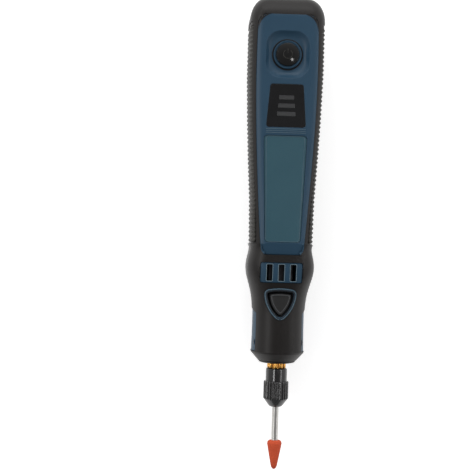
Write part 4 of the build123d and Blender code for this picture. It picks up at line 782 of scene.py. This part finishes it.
# Dark strips at the two ends of the vent window: painted shadow of the cover's walls at its ends
frontTree = surfaceOf("front_shell", "front_overmold")
endShadowValues = {"station": 39.4, "from": 9.3, "wide": 0.5, "long": 4.8, "rise": 0.07}
for side in (-1, 1):
    clearSelection()
    bpy.ops.mesh.primitive_cylinder_add(
        vertices=32, radius=0.5, depth=1.0,
        location=(side * endShadowValues["from"] / 1000, yAt(endShadowValues["station"]), 0),
    )
    endShadow = bpy.context.object
    endShadow.scale = (
        endShadowValues["wide"] / 1000, endShadowValues["long"] / 1000, 2 * endShadowValues["rise"] / 1000
    )
    applyPlace()
    dropOn(endShadow, frontTree)
    finishPiece(endShadow, "vent_end_painted_shadow_" + sideName(side), "housing", "gloss_black")

# A small dark spot in each side window: painted shade that stands for a small recessed slot
sideSlotShadeValues = {"station": 8.8, "aboveAxis": 5.0, "deep": 0.25, "long": 2.6, "tall": 1.1}
for side in (-1, 1):
    level = axisZ + sideSlotShadeValues["aboveAxis"] / 1000
    start = Vector((side * aboveAll, yAt(sideSlotShadeValues["station"]), level))
    hit = frontTree.ray_cast(start, Vector((-side, 0, 0)))[0]
    clearSelection()
    bpy.ops.mesh.primitive_uv_sphere_add(segments=24, ring_count=12, radius=0.5, location=hit)
    sideSlotShade = bpy.context.object
    sideSlotShade.scale = (
        2 * sideSlotShadeValues["deep"] / 1000, sideSlotShadeValues["long"] / 1000, sideSlotShadeValues["tall"] / 1000
    )
    finishPiece(sideSlotShade, "side_slot_painted_shade_" + sideName(side), "housing", "gloss_black", 60)
print("stage: outline, slits and slots made")

# The panel's two bit-side corners, filled out to a round corner from the panel's own level,
# which rises by slope from levelAt
cornerValues = {
    "inner": ((9.2, 51.8), (8.85, 50.4), (8.45, 49.3), (8.05, 48.2), (7.5, 47.25)),
    "outer": ((9.3, 51.8), (9.3, 50.5), (9.15, 49.4), (8.55, 48.15), (7.5, 47.3)),
    "level": 28.62,
    "levelAt": 47.5,
    "slope": 0.226,
    "rise": 0.05,
    "depth": 0.6,
}


def alongLine(points, share):
    spot = share * (len(points) - 1)
    first = min(int(spot), len(points) - 2)
    part = spot - first
    return [a + (b - a) * part for a, b in zip(points[first], points[first + 1])]


for side in (-1, 1):
    clearSelection()
    bpy.ops.mesh.primitive_grid_add(x_subdivisions=24, y_subdivisions=5, size=2.0)
    corner = bpy.context.object
    for vertex in corner.data.vertices:
        along = (vertex.co.x + 1) / 2
        out = (vertex.co.y + 1) / 2
        innerSpot = alongLine(cornerValues["inner"], along)
        outerSpot = alongLine(cornerValues["outer"], along)
        across = innerSpot[0] + (outerSpot[0] - innerSpot[0]) * out
        station = innerSpot[1] + (outerSpot[1] - innerSpot[1]) * out
        vertex.co = (side * across / 1000, yAt(station), 0)
    dropOn(corner, frontTree)
    for vertex in corner.data.vertices:
        station = (vertex.co.y - noseY) * 1000
        level = cornerValues["level"] + (station - cornerValues["levelAt"]) * cornerValues["slope"]
        vertex.co.z = max(vertex.co.z, level / 1000) + cornerValues["rise"] / 1000
    wall = corner.modifiers.new("wall", "SOLIDIFY")
    wall.thickness = cornerValues["depth"] / 1000
    wall.offset = side
    applyAll(corner)
    finishPiece(corner, "panel_corner_" + sideName(side), "housing", "blue_shell", 40)

# The soft cover laps over the panel's two tail corners, so that they look rounder
lapValues = {
    "half": 12.7, "tail": 150.15, "cadCorner": 2.6, "corner": 6.9, "beyond": 0.35,
    "along": 24, "across": 8, "rise": 0.09,
}


def lapSpot(share, turn):
    near = (lapValues["half"] - lapValues["corner"], lapValues["tail"] - lapValues["corner"])
    far = (lapValues["half"] - lapValues["cadCorner"], lapValues["tail"] - lapValues["cadCorner"])
    inner = lapValues["corner"]
    outer = lapValues["cadCorner"] + lapValues["beyond"]
    ax = near[0] + inner * math.sin(turn)
    ay = near[1] + inner * math.cos(turn)
    bx = far[0] + outer * math.sin(turn)
    by = far[1] + outer * math.cos(turn)
    return ax + (bx - ax) * share, ay + (by - ay) * share


for side in (-1, 1):
    clearSelection()
    bpy.ops.mesh.primitive_grid_add(
        x_subdivisions=lapValues["along"], y_subdivisions=lapValues["across"], size=2.0
    )
    lap = bpy.context.object
    for vertex in lap.data.vertices:
        turn = math.radians(45 * (vertex.co.x + 1))
        across, station = lapSpot((vertex.co.y + 1) / 2, turn)
        vertex.co = (side * across / 1000, yAt(station), 0)
    dropOn(lap, frontTree)
    wall = lap.modifiers.new("wall", "SOLIDIFY")
    wall.thickness = 2 * lapValues["rise"] / 1000
    wall.offset = 0
    applyAll(lap)
    finishPiece(lap, "cover_lap_" + sideName(side), "housing", "soft_cover", 60)
print("stage: panel corners and cover laps made")

# The floor glows a little where it is seen, also in mirrors and glass, so it looks white
clearSelection()
bpy.ops.mesh.primitive_plane_add(size=floorValues["size"], location=(0, 0, floorValues["level"]))
floor = bpy.context.object
floor.name = "floor"
floorFinish = bpy.data.materials.new("floor_white")
floorFinish.use_nodes = True
floorTree = floorFinish.node_tree
floorShader = floorTree.nodes["Principled BSDF"]
floorShader.inputs["Base Color"].default_value = (*floorValues["color"], 1)
floorShader.inputs["Roughness"].default_value = floorValues["rough"]
floorShader.inputs["Specular IOR Level"].default_value = 0.0
floorShader.inputs["Emission Color"].default_value = (1.0, 1.0, 1.0, 1)
floorRay = floorTree.nodes.new("ShaderNodeLightPath")
mirrorRay = floorTree.nodes.new("ShaderNodeMath")
mirrorRay.operation = "MAXIMUM"
floorTree.links.new(floorRay.outputs["Is Glossy Ray"], mirrorRay.inputs[0])
floorTree.links.new(floorRay.outputs["Is Transmission Ray"], mirrorRay.inputs[1])
seenRay = floorTree.nodes.new("ShaderNodeMath")
seenRay.operation = "MAXIMUM"
floorTree.links.new(floorRay.outputs["Is Camera Ray"], seenRay.inputs[0])
floorTree.links.new(mirrorRay.outputs["Value"], seenRay.inputs[1])
floorGlow = floorTree.nodes.new("ShaderNodeMath")
floorGlow.operation = "MULTIPLY"
floorGlow.inputs[1].default_value = floorValues["glow"]
floorTree.links.new(seenRay.outputs["Value"], floorGlow.inputs[0])
floorTree.links.new(floorGlow.outputs["Value"], floorShader.inputs["Emission Strength"])
floor.data.materials.append(floorFinish)

# The sky is dim overhead, brighter low down, as between softboxes, and white at the horizon.
# It is a little brighter at the tail's side
world = bpy.data.worlds.new("studio")
bpy.context.scene.world = world
world.use_nodes = True
skyTree = world.node_tree
sky = skyTree.nodes["Background"]
skyPlace = skyTree.nodes.new("ShaderNodeTexCoord")
skyParts = skyTree.nodes.new("ShaderNodeSeparateXYZ")
skyLevel = skyTree.nodes.new("ShaderNodeValToRGB")
low = skyValues["low"]
overhead = skyValues["overhead"]
skyLevel.color_ramp.elements[0].position = skyValues["horizonAt"]
skyLevel.color_ramp.elements[0].color = (1, 1, 1, 1)
skyLevel.color_ramp.elements[1].position = skyValues["overheadAt"]
skyLevel.color_ramp.elements[1].color = (overhead, overhead, overhead, 1)
middleSky = skyLevel.color_ramp.elements.new(skyValues["lowAt"])
middleSky.color = (low, low, low, 1)
skySide = skyTree.nodes.new("ShaderNodeMapRange")
skySide.inputs["From Min"].default_value = -1.0
skySide.inputs["From Max"].default_value = 1.0
skySide.inputs["To Min"].default_value = skyValues["bitSide"]
skySide.inputs["To Max"].default_value = skyValues["tailSide"]
skyStrength = skyTree.nodes.new("ShaderNodeMath")
skyStrength.operation = "MULTIPLY"
skyTree.links.new(skyPlace.outputs["Generated"], skyParts.inputs["Vector"])
skyTree.links.new(skyParts.outputs["Z"], skyLevel.inputs["Fac"])
skyTree.links.new(skyParts.outputs["Y"], skySide.inputs["Value"])
skyTree.links.new(skyLevel.outputs["Color"], skyStrength.inputs[0])
skyTree.links.new(skySide.outputs["Result"], skyStrength.inputs[1])
skyTree.links.new(skyStrength.outputs["Value"], sky.inputs["Strength"])
sky.inputs["Color"].default_value = (1.0, 1.0, 1.0, 1)

for name, values in lampValues.items():
    place = Vector(values["place"])
    bpy.ops.object.light_add(type="AREA", location=place)
    lamp = bpy.context.object
    lamp.name = name
    lamp.data.shape = "RECTANGLE"
    lamp.data.size, lamp.data.size_y = values["size"]
    lamp.data.energy = values["power"]
    lamp.rotation_mode = "QUATERNION"
    lamp.rotation_quaternion = (Vector(values["target"]) - place).to_track_quat("-Z", "Y")

# The camera looks down from a little to the left of the tool, rolled by the tool's tilt
roll = math.radians(cameraValues["rollDegrees"])
lean = math.radians(cameraValues["leanDegrees"])
turn = Euler((0, -lean, roll), "XYZ").to_matrix()
right = turn @ Vector((1, 0, 0))
up = turn @ Vector((0, 1, 0))
back = turn @ Vector((0, 0, 1))
spot = Vector((0, 0, axisZ)) + back * cameraValues["heightOverAxis"]
spot += up * cameraValues["shiftUp"] - right * cameraValues["shiftLeft"]
bpy.ops.object.camera_add(location=spot, rotation=turn.to_euler())
camera = bpy.context.object
camera.data.lens = cameraValues["lens"]
camera.data.sensor_width = cameraValues["sensor"]
camera.data.clip_start = cameraValues["nearest"]
camera.data.clip_end = cameraValues["farthest"]
bpy.context.scene.camera = camera
bpy.context.scene.view_settings.view_transform = "Standard"
print("stage: floor, light and camera made")
